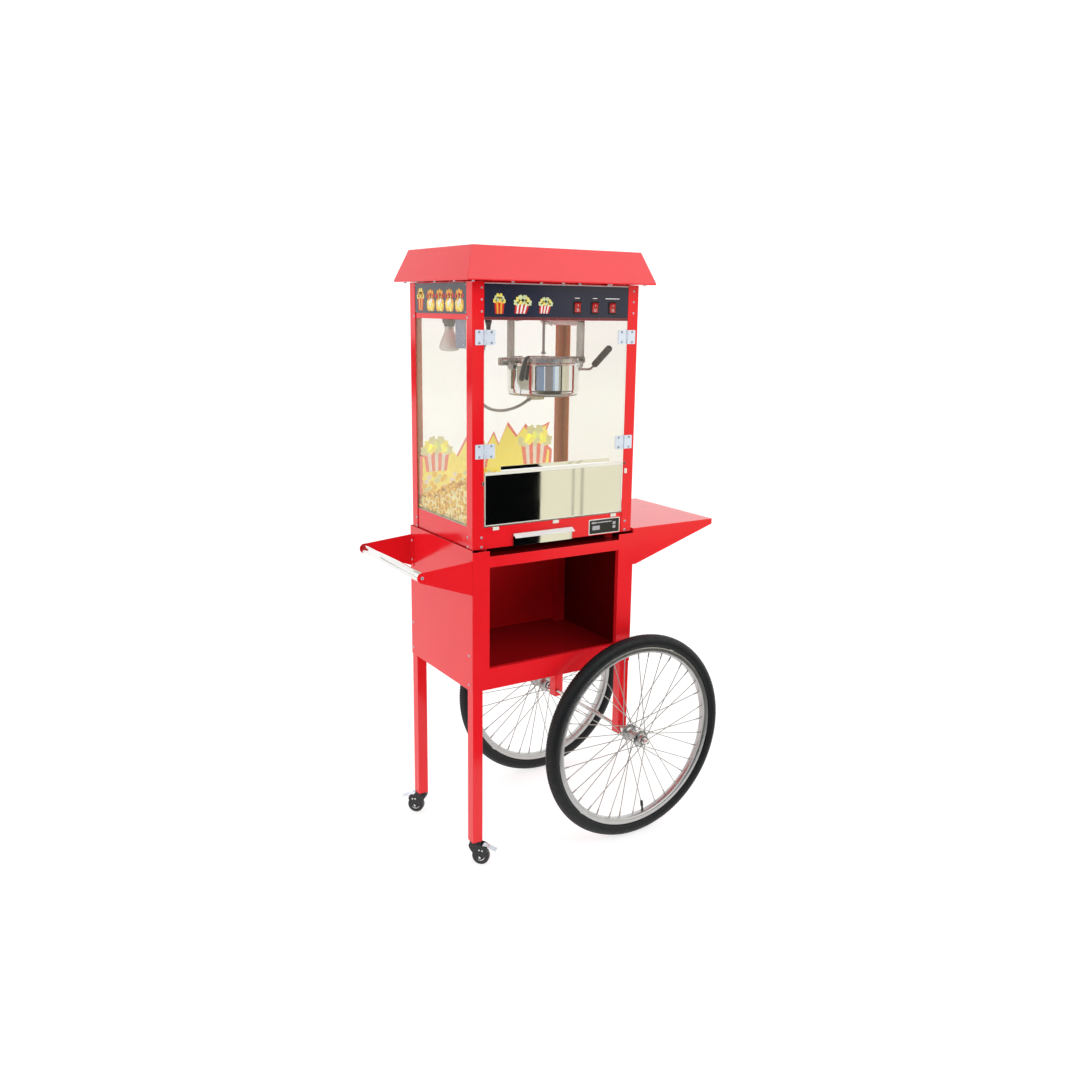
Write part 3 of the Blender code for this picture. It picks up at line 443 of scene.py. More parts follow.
def lathe(axis, profile, n, centre=(0.0, 0.0), ring=True, shape=None):
    v, rows = [], []
    for k, (r, h) in enumerate(profile):
        if r < 1e-9:
            rows.append([len(v)])
            v.append(place(axis, centre[0], centre[1], h))
            continue
        rows.append(list(range(len(v), len(v) + n)))
        for i in range(n):
            t = 2 * math.pi * i / n
            rr = r + (shape(k, i) if shape else 0.0)
            v.append(place(axis, centre[0] + rr * math.cos(t), centre[1] + rr * math.sin(t), h))
    f = []
    last = len(rows) if ring else len(rows) - 1
    for k in range(last):
        a, b = rows[k], rows[(k + 1) % len(rows)]
        for i in range(n):
            j = (i + 1) % n
            quad = [a[i % len(a)], a[j % len(a)], b[j % len(b)], b[i % len(b)]]
            f.append(tuple(dict.fromkeys(quad)))
    return v, f


def band(r0, r1, h0, h1):
    """Profile of a flat ring, or of a disc when r0 is 0."""
    return [(r0, h0), (r1, h0), (r1, h1), (r0, h1)]


def both_ways(half, middle=0.0):
    """Profile that runs down one half and back up its mirror image."""
    return [(r, middle - h) for r, h in half] + [(r, middle + h) for r, h in reversed(half)]


def tube(points, radius, n=12):
    """Round bar along a line of points; radius may be one number or one for each point."""
    pts = [Vector(p) for p in points]
    radii = radius if isinstance(radius, (list, tuple)) else [radius] * len(pts)
    v, f, side = [], [], None
    for k, p in enumerate(pts):
        t = (pts[min(k + 1, len(pts) - 1)] - pts[max(k - 1, 0)]).normalized()
        side = t.orthogonal().normalized() if side is None else (side - t * side.dot(t)).normalized()
        up = t.cross(side)
        for i in range(n):
            a = 2 * math.pi * i / n
            v.append(tuple(p + side * (radii[k] * math.cos(a)) + up * (radii[k] * math.sin(a))))
    for k in range(len(pts) - 1):
        for i in range(n):
            j = (i + 1) % n
            f.append((k * n + i, k * n + j, (k + 1) * n + j, (k + 1) * n + i))
    f += [tuple(range(n)), tuple(range((len(pts) - 1) * n, len(pts) * n))]
    return v, f


def curve_through(pts, per=6):
    """Catmull-Rom points through a list of points."""
    p = [Vector(q) for q in pts]
    p = [p[0] * 2 - p[1]] + p + [p[-1] * 2 - p[-2]]
    out = []
    for i in range(1, len(p) - 2):
        for s in range(per):
            t = s / per
            a, b, c, d = p[i - 1], p[i], p[i + 1], p[i + 2]
            out.append(0.5 * ((2 * b) + (c - a) * t + (2 * a - 5 * b + 4 * c - d) * t * t
                              + (3 * b - a - 3 * c + d) * t ** 3))
    out.append(p[-2])
    return out


def rounded(pts, times=2, keep=0.25):
    """Chaikin corner cutting of a closed outline."""
    for _ in range(times):
        new = []
        for i, a in enumerate(pts):
            b = pts[(i + 1) % len(pts)]
            new.append((a[0] + (b[0] - a[0]) * keep, a[1] + (b[1] - a[1]) * keep))
            new.append((b[0] - (b[0] - a[0]) * keep, b[1] - (b[1] - a[1]) * keep))
        pts = new
    return pts


def round_rect(a0, a1, b0, b1, r, n=5):
    pts = []
    corners = ((a1 - r, b1 - r, 0), (a0 + r, b1 - r, 90), (a0 + r, b0 + r, 180), (a1 - r, b0 + r, 270))
    for ca, cb, start in corners:
        for k in range(n + 1):
            t = math.radians(start + 90 * k / n)
            pts.append((ca + r * math.cos(t), cb + r * math.sin(t)))
    return pts


def about(axis, deg, centre):
    """Turn about an axis through a point, as a matrix for Geo.add."""
    c = Vector(centre)
    return Matrix.Translation(c) @ Matrix.Rotation(math.radians(deg), 4, axis) @ Matrix.Translation(-c)


def settle(ob):
    """Put the modifiers' result into the mesh itself."""
    bpy.context.view_layer.update()
    graph = bpy.context.evaluated_depsgraph_get()
    mesh = bpy.data.meshes.new_from_object(ob.evaluated_get(graph))
    ob.modifiers.clear()
    ob.data = mesh


def finish_mesh(name, mesh, mats, body, bevel=0.0, segs=2, sharp=34.0, replaces=(), weighted=True):
    """Round the edges, shade, and hand the mesh to the frame; body None leaves the ride to the caller."""
    bm = bmesh.new()
    bm.from_mesh(mesh)
    bmesh.ops.recalc_face_normals(bm, faces=bm.faces)
    if bevel > 0:
        edges = [e for e in bm.edges if len(e.link_faces) == 2 and e.calc_face_angle(0) > math.radians(28)]
        bmesh.ops.bevel(bm, geom=edges, offset=bevel * MM, segments=segs, profile=0.5, affect="EDGES",
                        clamp_overlap=True)
    bm.to_mesh(mesh)
    bm.free()
    for key in mats:
        mesh.materials.append(M[key])
    for poly in mesh.polygons:
        poly.use_smooth = True
    mesh.set_sharp_from_angle(angle=math.radians(sharp))
    ob = bpy.data.objects.new(name, mesh)
    bpy.context.scene.collection.objects.link(ob)
    if weighted:
        mod = ob.modifiers.new("normals", "WEIGHTED_NORMAL")
        mod.keep_sharp = True
        settle(ob)
    ob.data.name = name
    if body:
        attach(ob, body)
    if replaces:
        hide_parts(*replaces)
    return ob


def piece(name, geo, mats, body, bevel=0.0, segs=2, sharp=34.0, replaces=(), weighted=True):
    mesh = bpy.data.meshes.new(name)
    mesh.from_pydata([P(*p) for p in geo.v], [], geo.f)
    for poly, m in zip(mesh.polygons, geo.m):
        poly.material_index = m
    return finish_mesh(name, mesh, mats, body, bevel, segs, sharp, replaces, weighted)


def skin(node, mat, bevel=0.5, segs=2):
    """The CAD sheet part with its folds and cut edges rounded."""
    ob = nodes[node]
    mesh = bpy.data.meshes.new(node + "_skin")
    bm = bmesh.new()
    bm.from_mesh(ob.data)
    bmesh.ops.remove_doubles(bm, verts=bm.verts, dist=2e-6)
    bmesh.ops.dissolve_limit(bm, angle_limit=math.radians(0.6), verts=bm.verts, edges=bm.edges)
    bm.to_mesh(mesh)
    bm.free()
    for poly in mesh.polygons:
        poly.material_index = 0
    mesh.materials.clear()
    return finish_mesh(node + "_skin", mesh, [mat], ob["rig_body"], bevel, segs, replaces=(node,))


def screw(geo, at, way, r=3.2, h=1.6, head=0, slot_mat=1):
    """Pan head with a cross recess; way is the outward direction, at is on the sheet. The recess is a thin
    cross inlay over the head, not a hole, and in a dark material it is painted shade.
    """
    rot = Vector((0, 0, 1)).rotation_difference(Vector(way)).to_matrix().to_4x4()
    turn = Matrix.Translation(Vector(at)) @ rot
    prof = [(0, -0.4), (r, -0.4), (r, 0.25 * h), (0.86 * r, 0.7 * h), (0.5 * r, 0.95 * h), (0, h)]
    geo.add(lathe("Z", prof, 18, (0, 0), False), head, turn)
    a = 0.52 * r
    for px, py in ((a, 0.16 * r), (0.16 * r, a)):
        geo.add(box(-px, px, -py, py, 0.5 * h, h + 0.03), slot_mat, turn)


def hexnut(geo, axis, centre, h0, h1, across, mat=0):
    geo.add(lathe(axis, band(0, across, h0, h1), 6, centre, False), mat)


# road wheels ------------------------------------------------------------------------------
WHEEL_X, WHEEL_Y, WHEEL_R = 239.0, 255.0, 305.0
HUB_R, HUB_HALF, FLANGE_Y, SPOKES = 12.0, 44.0, 27.0, 36
RIBS = 210


def tyre(tag, y0):
    n = RIBS * 4
    mid = WHEEL_R - 20.6
    outer = []
    for k in range(27):
        deg = -46 + k * (272 / 26)
        t = math.radians(deg)
        outer.append((mid + 19.4 * math.sin(t), y0 + 20.6 * math.cos(t), deg))
    inner = []
    for k in range(9):
        t = math.radians(-36 + k * (252 / 8))
        inner.append((mid + 16.0 * math.sin(t), y0 + 17.0 * math.cos(t), None))
    prof = outer + list(reversed(inner))

    def shape(k, i):
        deg = prof[k][2]
        if deg is None:
            return 0.0
        off = abs(deg - 90)
        phase = i % 4
        if off < 8:
            return 0.9
        if off < 20:
            return 0.9 if (phase in (0, 1)) == (deg > 90) else -0.5
        if off < 30:
            return -0.6
        if off < 52:
            return 0.9 if phase in (1, 2) else -0.5
        if off < 62:
            return 0.5 if phase in (0, 1) else -0.1
        return 0.0

    geo = Geo().add(lathe("Y", [(r, h) for r, h, _ in prof], n, (WHEEL_X, WHEEL_R), True, shape))
    piece("tyre_tread_" + tag, geo, ["tyre"], "wheel_" + tag, sharp=40,
          replaces=("tyre_" + tag,), weighted=False)


def rim(tag, y0):
    half = [(269.4, 12.9), (268.6, 13.4), (266.0, 13.6), (262.0, 13.2), (257.5, 12.9), (255.2, 12.0),
            (253.4, 10.0), (252.0, 7.2), (251.3, 4.0), (251.0, 0.0)]
    inside = [(269.4, 11.6), (258.0, 11.0), (256.0, 7.0), (255.6, 0.0)]
    prof = [(r, y0 + h) for r, h in half] + [(r, y0 - h) for r, h in reversed(half[:-1])]
    prof += [(r, y0 - h) for r, h in inside] + [(r, y0 + h) for r, h in reversed(inside[:-1])]
    geo = Geo().add(lathe("Y", prof, 144, (WHEEL_X, WHEEL_R), True))
    for i in range(SPOKES):
        a = 2 * math.pi * i / SPOKES
        out = Vector((math.cos(a), 0, math.sin(a)))
        base = Vector((WHEEL_X, y0 + (2.8 if i % 2 else -2.8) * -1, WHEEL_R))
        geo.add(tube([base + out * 251.8, base + out * 251.0, base + out * 250.6], [3.4, 3.4, 2.6], 10), 1)
    a = math.radians(-81)
    out = Vector((math.cos(a), 0, math.sin(a)))
    base = Vector((WHEEL_X, y0, WHEEL_R))
    geo.add(tube([base + out * r for r in (252, 244, 243.4, 236, 235.6, 219.6, 218.8)],
                 [3.6, 3.4, 2.9, 2.9, 4.3, 4.3, 3.6], 14), 2)
    piece("rim_band_" + tag, geo, ["alloy", "zinc", "black"], "wheel_" + tag,
          replaces=("rim_" + tag,), weighted=False)


def hub(tag, y0):
    h, fy = HUB_HALF, FLANGE_Y
    c = (WHEEL_X, WHEEL_R)
    half = [(6.2, h), (13.6, h), (14.2, h - 1.2), (14.6, fy + 4), (17, fy + 2.2), (24.4, fy + 1.6),
            (25, fy + 1.0), (25, fy - 1.0), (24.4, fy - 1.6), (15.5, fy - 2.4), (12.6, fy - 5),
            (HUB_R - 0.8, 8)]
    geo = Geo().add(lathe("Y", both_ways(half, y0), 64, c, True))
    per = SPOKES // 2
    for i in range(SPOKES):
        flange = -1 if i % 2 else 1
        k = i // 2
        lead = 1 if k % 2 else -1
        rim_a = 2 * math.pi * i / SPOKES
        hub_a = rim_a + lead * math.radians(54) + flange * math.pi / per / 4
        yf = y0 + flange * (fy + lead * 2.6)
        yr = y0 + flange * 3.2
        a = Vector((WHEEL_X + 21.8 * math.cos(hub_a), yf, WHEEL_R + 21.8 * math.sin(hub_a)))
        b = Vector((WHEEL_X + 250.4 * math.cos(rim_a), yr, WHEEL_R + 250.4 * math.sin(rim_a)))
        t = (b - a).normalized()
        geo.add(tube([a, a + t * 4, b - t * 15, b - t * 14.6, b - t * 1.5, b],
                     [1.05, 1.2, 1.2, 1.9, 2.1, 2.1], 8), 1)
        geo.add(tube([a - Vector((0, lead * flange * 4.6, 0)), a - Vector((0, lead * flange * 3.9, 0)),
                      a - Vector((0, lead * flange * 0.2, 0))], [1.2, 1.9, 1.0], 8), 1)
    for s in (-1, 1):
        e = y0 + s * h
        ring = [(6.4, e - s * 1.0), (12.8, e - s * 1.0), (12.8, e + s * 0.2), (10.5, e + s * 0.75),
                (6.4, e + s * 0.75)]
        geo.add(lathe("Y", ring, 40, c, True), 2)
    piece("laced_hub_" + tag, geo, ["alloy", "grey_steel", "black"], "wheel_" + tag,
          replaces=("spoked_hub_" + tag,), weighted=False)


def axle():
    c = (WHEEL_X, WHEEL_R)
    geo = Geo()
    tip = WHEEL_Y + HUB_HALF + 21.0
    nut = WHEEL_Y + HUB_HALF + 1.0
    inner = WHEEL_Y - HUB_HALF - 1.0
    rod = [(0, tip - 14), (5.6, tip - 14), (6.0, tip - 15), (6.0, nut - 1)]
    geo.add(lathe("Y", both_ways(rod), 32, c, False), 0)
    for s in (-1, 1):
        geo.add(lathe("Y", [(6.05, s * (inner - 9)), (10.9, s * (inner - 9)), (10.9, s * (inner - 3)),
                            (10.2, s * (inner - 2.6)), (10.2, s * inner), (6.05, s * inner)], 36, c, True), 1)
        washer = [(6.05, s * nut), (10.6, s * nut), (10.9, s * (nut + 0.5)), (10.6, s * (nut + 1.4)),
                  (6.05, s * (nut + 1.4))]
        geo.add(lathe("Y", washer, 36, c, True), 1)
        hexnut(geo, "Y", c, s * (nut + 1.4), s * (nut + 8.4), 9.4, 1)
        dome = [(0, s * tip), (3.2, s * (tip - 0.7)), (5.6, s * (tip - 3.2)), (6.9, s * (tip - 6.8)),
                (7.2, s * (tip - 11.6)), (0, s * (tip - 11.6))]
        geo.add(lathe("Y", dome, 32, c, False), 1)
    piece("axle_rod", geo, ["brushed_rod", "chrome"], "stand", bevel=0.35, segs=1,
          sharp=40, replaces=("wheel_axle",))


def build_wheels():
    for s, tag in ((-1, "front"), (1, "rear")):
        tyre(tag, s * WHEEL_Y)
        rim(tag, s * WHEEL_Y)
        hub(tag, s * WHEEL_Y)
    axle()


# casters ----------------------------------------------------------------------------------
CASTER_TOP, CASTER_R, CASTER_TRAIL, PEDAL_DX = 67.0, 24.5, 17.0, 24.0
CASTERS = {"front": (-243.5, -171.7, -45.0), "rear": (-243.5, 171.7, 135.0)}


def casters():
    for tag, (cx, cy, deg) in CASTERS.items():
        turn = about("Z", deg, (cx, cy, 0))
        wx, wz, top = cx + CASTER_TRAIL, CASTER_R, CASTER_TOP
        fork = Geo()
        race = [(0, top - 11.6), (15.4, top - 11.6), (16.3, top - 10.4), (16.3, top - 7.6), (15.2, top - 6.6),
                (15.2, top - 5.6), (16.0, top - 4.8), (16.0, top - 1.6), (15.0, top - 0.4), (0, top - 0.4)]
        fork.add(lathe("Z", race, 40, (cx, cy), False), 0, turn)
        fork.add(lathe("Z", [(0, top - 2), (5.0, top - 2), (5.0, top + 25.4), (4.4, top + 26), (0, top + 26)],
                       20, (cx, cy), False), 2, turn)
        cheek = [(cx - 15.5, top - 5), (cx - 15.5, top - 16), (wx - 16, wz + 4), (wx - 9, wz - 8),
                 (wx + 6, wz - 8), (wx + 17, wz + 6), (wx + 22, top - 18), (wx + 15, top - 10),
                 (cx + 15.5, top - 5)]
        for s in (-1, 1):
            ys = sorted((cy + s * 12.2, cy + s * 14.3))
            fork.add(prism("Y", rounded(cheek, 2), *ys), 0, turn)
            for dx, dz in ((wx - 1.5, top - 20.5), (wx + 7.0, top - 21.5)):
                y1 = cy + s * 14.2
                fork.add(lathe("Y", [(0, y1), (3.1, y1), (2.8, y1 + s * 1.0), (1.5, y1 + s * 1.7),
                                     (0, y1 + s * 1.9)], 18, (dx, dz), False), 1, turn)
            y1 = cy + s * 14.2
            fork.add(lathe("Y", [(0, y1), (4.6, y1), (4.6, y1 + s * 1.4), (3.6, y1 + s * 2.1),
                                 (0, y1 + s * 2.2)],
                           6, (wx, wz), False), 2, turn)
        shoulder = rounded([(cx - 15.5, top - 5), (cx - 15.5, top - 13), (cx - 6, top - 14.5),
                            (cx + 12, top - 14), (cx + 17, top - 8), (cx + 15, top - 5)], 1)
        fork.add(prism("Y", shoulder, cy - 12.4, cy + 12.4), 0, turn)
        piece("caster_yoke_" + tag, fork, ["black", "rivet", "zinc"], "caster_swivel_" + tag,
              bevel=0.45, segs=2, replaces=("caster_fork_" + tag,))
        roll = Geo()
        tread = [(11.5, 9.2), (20.8, 9.2), (22.0, 9.0), (23.6, 8.2), (24.3, 6.2), (24.5, 3.0)]
        roll.add(lathe("Y", both_ways(tread, cy), 56, (wx, wz), True), 0, turn)
        disc = [(3.4, 10.4), (6.0, 10.4), (7.0, 9.4), (8.4, 9.2), (8.8, 9.9), (12.4, 9.9), (12.9, 9.3),
                (12.9, 8.8), (11.4, 8.6)]
        roll.add(lathe("Y", both_ways(disc, cy), 48, (wx, wz), True), 1, turn)
        piece("caster_roller_tread_" + tag, roll, ["rubber", "pale_hub"], "caster_roller_" + tag,
              replaces=("caster_wheel_" + tag,), weighted=False)
        px, pz = cx + PEDAL_DX, top - 12.0
        lever = [(px - 2.4, pz - 2.6), (px + 3.0, pz - 2.9), (px + 14, pz - 3.4), (px + 38, pz - 10.2)]
        lever += [(px + 38, pz - 8.6)]
        for k in range(9):
            x = px + 37 - 2.3 * k
            z = pz - 8.4 + (px + 38 - x) * 0.385
            lever += [(x, z + 0.7), (x - 1.1, z + 0.0)]
        lever += [(px + 14, pz + 0.8), (px + 4, pz + 3.0), (px - 2.4, pz + 2.4)]
        foot = Geo().add(prism("Y", lever, cy - 9.8, cy + 9.8), 0, turn)
        foot.add(lathe("Y", band(0, 3.2, cy - 11.3, cy + 11.3), 20, (px, pz), False), 0, turn)
        piece("brake_lever_" + tag, foot, ["zinc"], "pedal_" + tag, bevel=0.2, segs=1,
              replaces=("brake_pedal_" + tag,))


# cabinet, header and signs ----------------------------------------------------------------
MACH_W, MACH_D = 512.0, 358.0
Y0 = -MACH_D / 2
Z_BASE, Z_DECK, Z_GLASS_TOP = 898.0, 955.4, 1483.0
SWITCH_X, SWITCH_Z = (56.0, 112.0, 169.0), 1517.0
PANEL_Y = Y0 + 0.2


def red_skins():
    middle = P(0, 0, 700)
    # The side panels, floor and deck get a darker red on their inward faces as painted shade.
    for n, inner in (("cart_panel_left", "red_shade_painted"), ("cart_panel_right", "red_deep_shade_painted"),
                     ("cart_panel_back", "red"),
                     ("cart_floor", "red_shade_painted"), ("cart_deck", "red_shade_painted")):
        sheet = skin(n, "red", 0.35, 1)
        sheet.data.materials.append(M[inner])
        sheet.data.materials.append(M["red_deep_shade_painted"])
        # Inward faces: painted shade. The deck's top and front faces: painted shadow in the gap under the
        # machine.
        for poly in sheet.data.polygons:
            if poly.normal.dot((middle - poly.center).normalized()) > 0.25:
                poly.material_index = 1
            elif n == "cart_deck" and (poly.normal.z > 0.5 or poly.normal.y < -0.5):
                poly.material_index = 2
    skin("cart_front_frame", "red", 0.5)
    for n in ("leg_front_left", "leg_front_right", "leg_rear_left", "leg_rear_right"):
        skin(n, "red", 1.0, 3)
    for n in ("post_front_left", "post_front_right", "post_rear_left", "post_rear_right"):
        skin(n, "red", 0.9, 3)
    for n in ("side_shelf", "handle_wing_front", "handle_wing_rear", "base_housing", "header_housing",
              "roof_canopy"):
        skin(n, "red", 0.5, 2)
    for n, sheet in (("glass_left", "clear"), ("glass_right", "clear_far"), ("glass_rear", "clear_far")):
        skin(n, sheet, 0.35, 1)


def frame_strip(geo, x0, x1, z0, z1, w, y0, y1, mat):
    geo.add(box(x0, x1, y0, y1, z1 - w, z1), mat)
    geo.add(box(x0, x1, y0, y1, z0, z0 + w), mat)
    geo.add(box(x0, x0 + w, y0, y1, z0 + w, z1 - w), mat)
    geo.add(box(x1 - w, x1, y0, y1, z0 + w, z1 - w), mat)


def control_panel():
    geo = Geo()
    xs = [-221.2] + [x + d for x in SWITCH_X for d in (-9.8, 9.8)] + [221.2]
    z0, z1, h0, h1 = 1491.5, 1571.5, SWITCH_Z - 13.8, SWITCH_Z + 13.8
    geo.add(box(xs[0], xs[-1], PANEL_Y, PANEL_Y + 1.9, h1, z1))
    geo.add(box(xs[0], xs[-1], PANEL_Y, PANEL_Y + 1.9, z0, h0))
    for a, b in zip(xs[::2], xs[1::2]):
        geo.add(box(a, b, PANEL_Y, PANEL_Y + 1.9, h0, h1))
    for x in SWITCH_X:
        outer = round_rect(x - 12.8, x + 12.8, SWITCH_Z - 16.4, SWITCH_Z + 16.4, 1.6, 3)
        inner = round_rect(x - 9.9, x + 9.9, SWITCH_Z - 13.9, SWITCH_Z + 13.9, 0.8, 3)
        n = len(outer)
        v = [(a, Y0 + 0.3, b) for a, b in outer] + [(a, Y0 - 1.1, b) for a, b in outer]
        v += [(x + (a - x) * 0.94, Y0 - 1.6, SWITCH_Z + (b - SWITCH_Z) * 0.955) for a, b in outer]
        v += [(a, Y0 - 1.4, b) for a, b in inner] + [(a, Y0 + 0.3, b) for a, b in inner]
        f = [(r * n + i, r * n + (i + 1) % n, (r + 1) % 5 * n + (i + 1) % n, (r + 1) % 5 * n + i)
             for r in range(5) for i in range(n)]
        geo.add((v, f), 1)
    piece("switch_fascia", geo, ["navy", "black"], "stand", replaces=("control_panel",),
          sharp=30,
          weighted=False)
    trim = Geo().add(box(-221.4, 221.4, Y0 + 0.1, Y0 + 1.4, 1572.0, 1574.4), 0)
    trim.add(box(-221.4, 221.4, Y0 + 0.6, Y0 + 2.0, 1484.0, 1491.2), 2)
    for x in (-60.0, 58.0, 150.0):
        hexnut(trim, "Z", (x, Y0 - 7.0), 1573.2, 1578.4, 3.6, 1)
    piece("fascia_trim", trim, ["pale_strip", "zinc", "maroon"], "stand", bevel=0.2, segs=1)


def rockers():
    for x, node_name, body in zip(SWITCH_X, ("rocker_light", "rocker_stirrer", "rocker_kettle"),
                                  ("switch_light", "switch_stirrer", "switch_kettle")):
        side = [(Y0 + 12.8, SWITCH_Z - 5), (Y0 + 9, SWITCH_Z - 11.3), (Y0 - 1.2, SWITCH_Z - 12.6)]
        side += [(Y0 - 3.2, SWITCH_Z - 12.2)]
        for k in range(1, 8):
            t = k / 8
            z = SWITCH_Z - 12.2 + 24.4 * t
            side.append((Y0 - 3.2 - 1.2 * t + 1.9 * math.sin(math.pi * t), z))
        side += [(Y0 - 4.4, SWITCH_Z + 12.2), (Y0 - 2.0, SWITCH_Z + 12.6), (Y0 + 9, SWITCH_Z + 11.3),
                 (Y0 + 12.8, SWITCH_Z + 5)]
        geo = Geo().add(prism("X", side, x - 9.2, x + 9.2), 0)
        geo.add(prism("Y", round_rect(x - 0.7, x + 0.7, SWITCH_Z + 3.8, SWITCH_Z + 8.6, 0.6, 3),
                      Y0 - 4.2, Y0 - 1.6), 1)
        geo.add(lathe("Y", band(2.6, 3.5, Y0 - 3.0, Y0 - 0.6), 24, (x, SWITCH_Z - 6.2), True), 1)
        piece(node_name + "_paddle", geo, ["switch", "print_white"], body, bevel=0.35, segs=2,
              replaces=(node_name,))


# printed pictures: a generic tub heaped with corn, all of flat shapes ------------------------
def puff(cx, cy, r, phase, n=40):
    """Outline of one popped kernel with five lobes."""
    turns = [2 * math.pi * k / n for k in range(n)]
    reach = [r * (1 + 0.16 * math.cos(5 * t + phase)) for t in turns]
    return [(cx + d * math.cos(t), cy + d * math.sin(t)) for d, t in zip(reach, turns)]


class Print:
    """Layers of flat ink, each a little prouder than the one below, on one side of a sheet."""

    def __init__(self, axis, plane, out):
        self.axis, self.plane, self.out, self.geo, self.level = axis, plane, out, Geo(), 0

    def ink(self, pts, mat):
        h = self.plane + self.out * (0.06 + 0.05 * self.level)
        self.geo.add(prism(self.axis, pts, self.plane, h), mat)

    def next(self):
        self.level += 1


def tub(pr, cx, z0, w, h, stripes, lean, inks):
    """Striped tub: inks are light stripe, dark stripe, corn, corn shade."""
    light, dark, corn, shade = inks
    top, bot = w / 2, w * 0.39

    def at(u, t):
        half = bot + (top - bot) * t
        return (cx + half * u + lean * t, z0 + h * t)
    pr.ink([at(-1, 0), at(1, 0), at(1, 1), at(-1, 1)], light)
    pr.next()
    for k in range(stripes):
        if k % 2 == 0:
            a, b = -1 + 2 * k / stripes, -1 + 2 * (k + 1) / stripes
            pr.ink([at(a, 0), at(b, 0), at(b, 1), at(a, 1)], dark)
    pr.next()
    heap = [at(-1.12, 0.97), at(1.12, 0.97), at(0.95, 1.26), at(0.45, 1.5), at(-0.45, 1.5), at(-0.95, 1.26)]
    pr.ink(rounded(heap, 2), shade)
    pr.next()
    rows = (([(-0.86, 0.02), (-0.42, 0.10), (0.06, 0.06), (0.5, 0.10), (0.88, 0.0)], 1.0, 1.0, 0.0,
             (corn, shade)),
            ([(-0.58, 0.30), (0.0, 0.36), (0.56, 0.29), (0.22, 0.2), (-0.24, 0.2)], 0.95, 1.7, 0.4,
             (shade, corn)),
            ([(-0.3, 0.48), (0.3, 0.48)], 0.85, 2.1, 0.0, (corn, corn)))
    for spots, size, turn, start, pair in rows:
        for q, (u, t) in enumerate(spots):
            x, z = at(u, 1)
            pr.ink(puff(x, z + h * t, w * 0.17 * size, turn * q + start), pair[q % 2])
        pr.next()


INKS = ["print_white", "print_red", "print_corn", "print_gold", "print_green", "print_pink"]
FILMS = ["film_white", "print_red", "film_corn", "film_gold", "film_green", "film_pink"]


def fascia_pictures():
    pr = Print("Y", PANEL_Y - 0.02, -1)
    for cx, z0, w, h, stripes, lean, inks in ((-179.0, 1499.0, 30.0, 31.0, 5, 0.0, (3, 1, 2, 4)),
                                              (-117.0, 1500.0, 44.0, 27.0, 7, 6.0, (0, 1, 4, 2)),
                                              (-47.0, 1501.0, 36.0, 24.0, 7, 5.0, (0, 1, 4, 2))):
        pr.level = 0
        tub(pr, cx, z0, w, h, stripes, lean, inks)
    pr.level = 0
    for x, w in zip(SWITCH_X, (15.0, 15.0, 46.0)):
        pr.ink(round_rect(x - w / 2, x + w / 2, 1540.0, 1542.0, 0.9, 3), 0)
    piece("fascia_pictures", pr.geo, INKS, "stand", sharp=20, weighted=False)


def side_signs():
    for s, side in ((-1, "left"), (1, "right")):
        x = s * 253.7
        board = Geo().add(prism("X", round_rect(-147.6, 147.6, 1497.4, 1574.6, 1.0, 2), x, x + s * 1.1), 0)
        for y in (-139.0, 139.0):
            for z in (1502.0, 1569.5):
                screw(board, (x + s * 1.0, y * 1.03, z), (s, 0, 0), 2.3, 1.0, 1, 2)
        piece("sign_board_" + side, board, ["slate", "zinc", "black"], "stand", bevel=0.2,
              segs=1)
        pr = Print("X", x + s * 1.12, s)
        f = -s
        tub(pr, 114.0 * f, 1504.0, 36.0, 36.0, 5, 0.0, (3, 1, 2, 3))
        for k in range(4):
            pr.level = 0
            cy = (53.0 - 54.0 * k) * f
            bag = [(cy - 24, 1521), (cy - 21, 1506), (cy - 12, 1502), (cy, 1504), (cy + 12, 1502),
                   (cy + 21, 1506), (cy + 24, 1521), (cy + 20, 1536), (cy - 20, 1536)]
            pr.ink(rounded(bag, 2), 3)
            pr.next()
            for q in range(9):
                a = 2.399 * q
                rr = 14.5 * math.sqrt((q + 0.5) / 9)
                spot = (cy + rr * math.cos(a) * 1.2, 1519 + rr * math.sin(a) * 0.9)
                pr.ink(puff(*spot, 5.4, q), 2 if q % 3 else 0)
                pr.next()
            for q in range(-2, 3):
                pr.ink(puff(cy + q * 8.6, 1544 + 2.6 * math.cos(q * 2.0), 6.4, q), 3 if q % 2 else 1)
            pr.next()
            for q in range(-1, 2):
                pr.ink(puff(cy + q * 11.0, 1552.5 + 1.5 * math.cos(q * 3.0), 5.6, q * 1.3), 3)
        piece("sign_pictures_" + side, pr.geo, INKS, "stand", sharp=20, weighted=False)


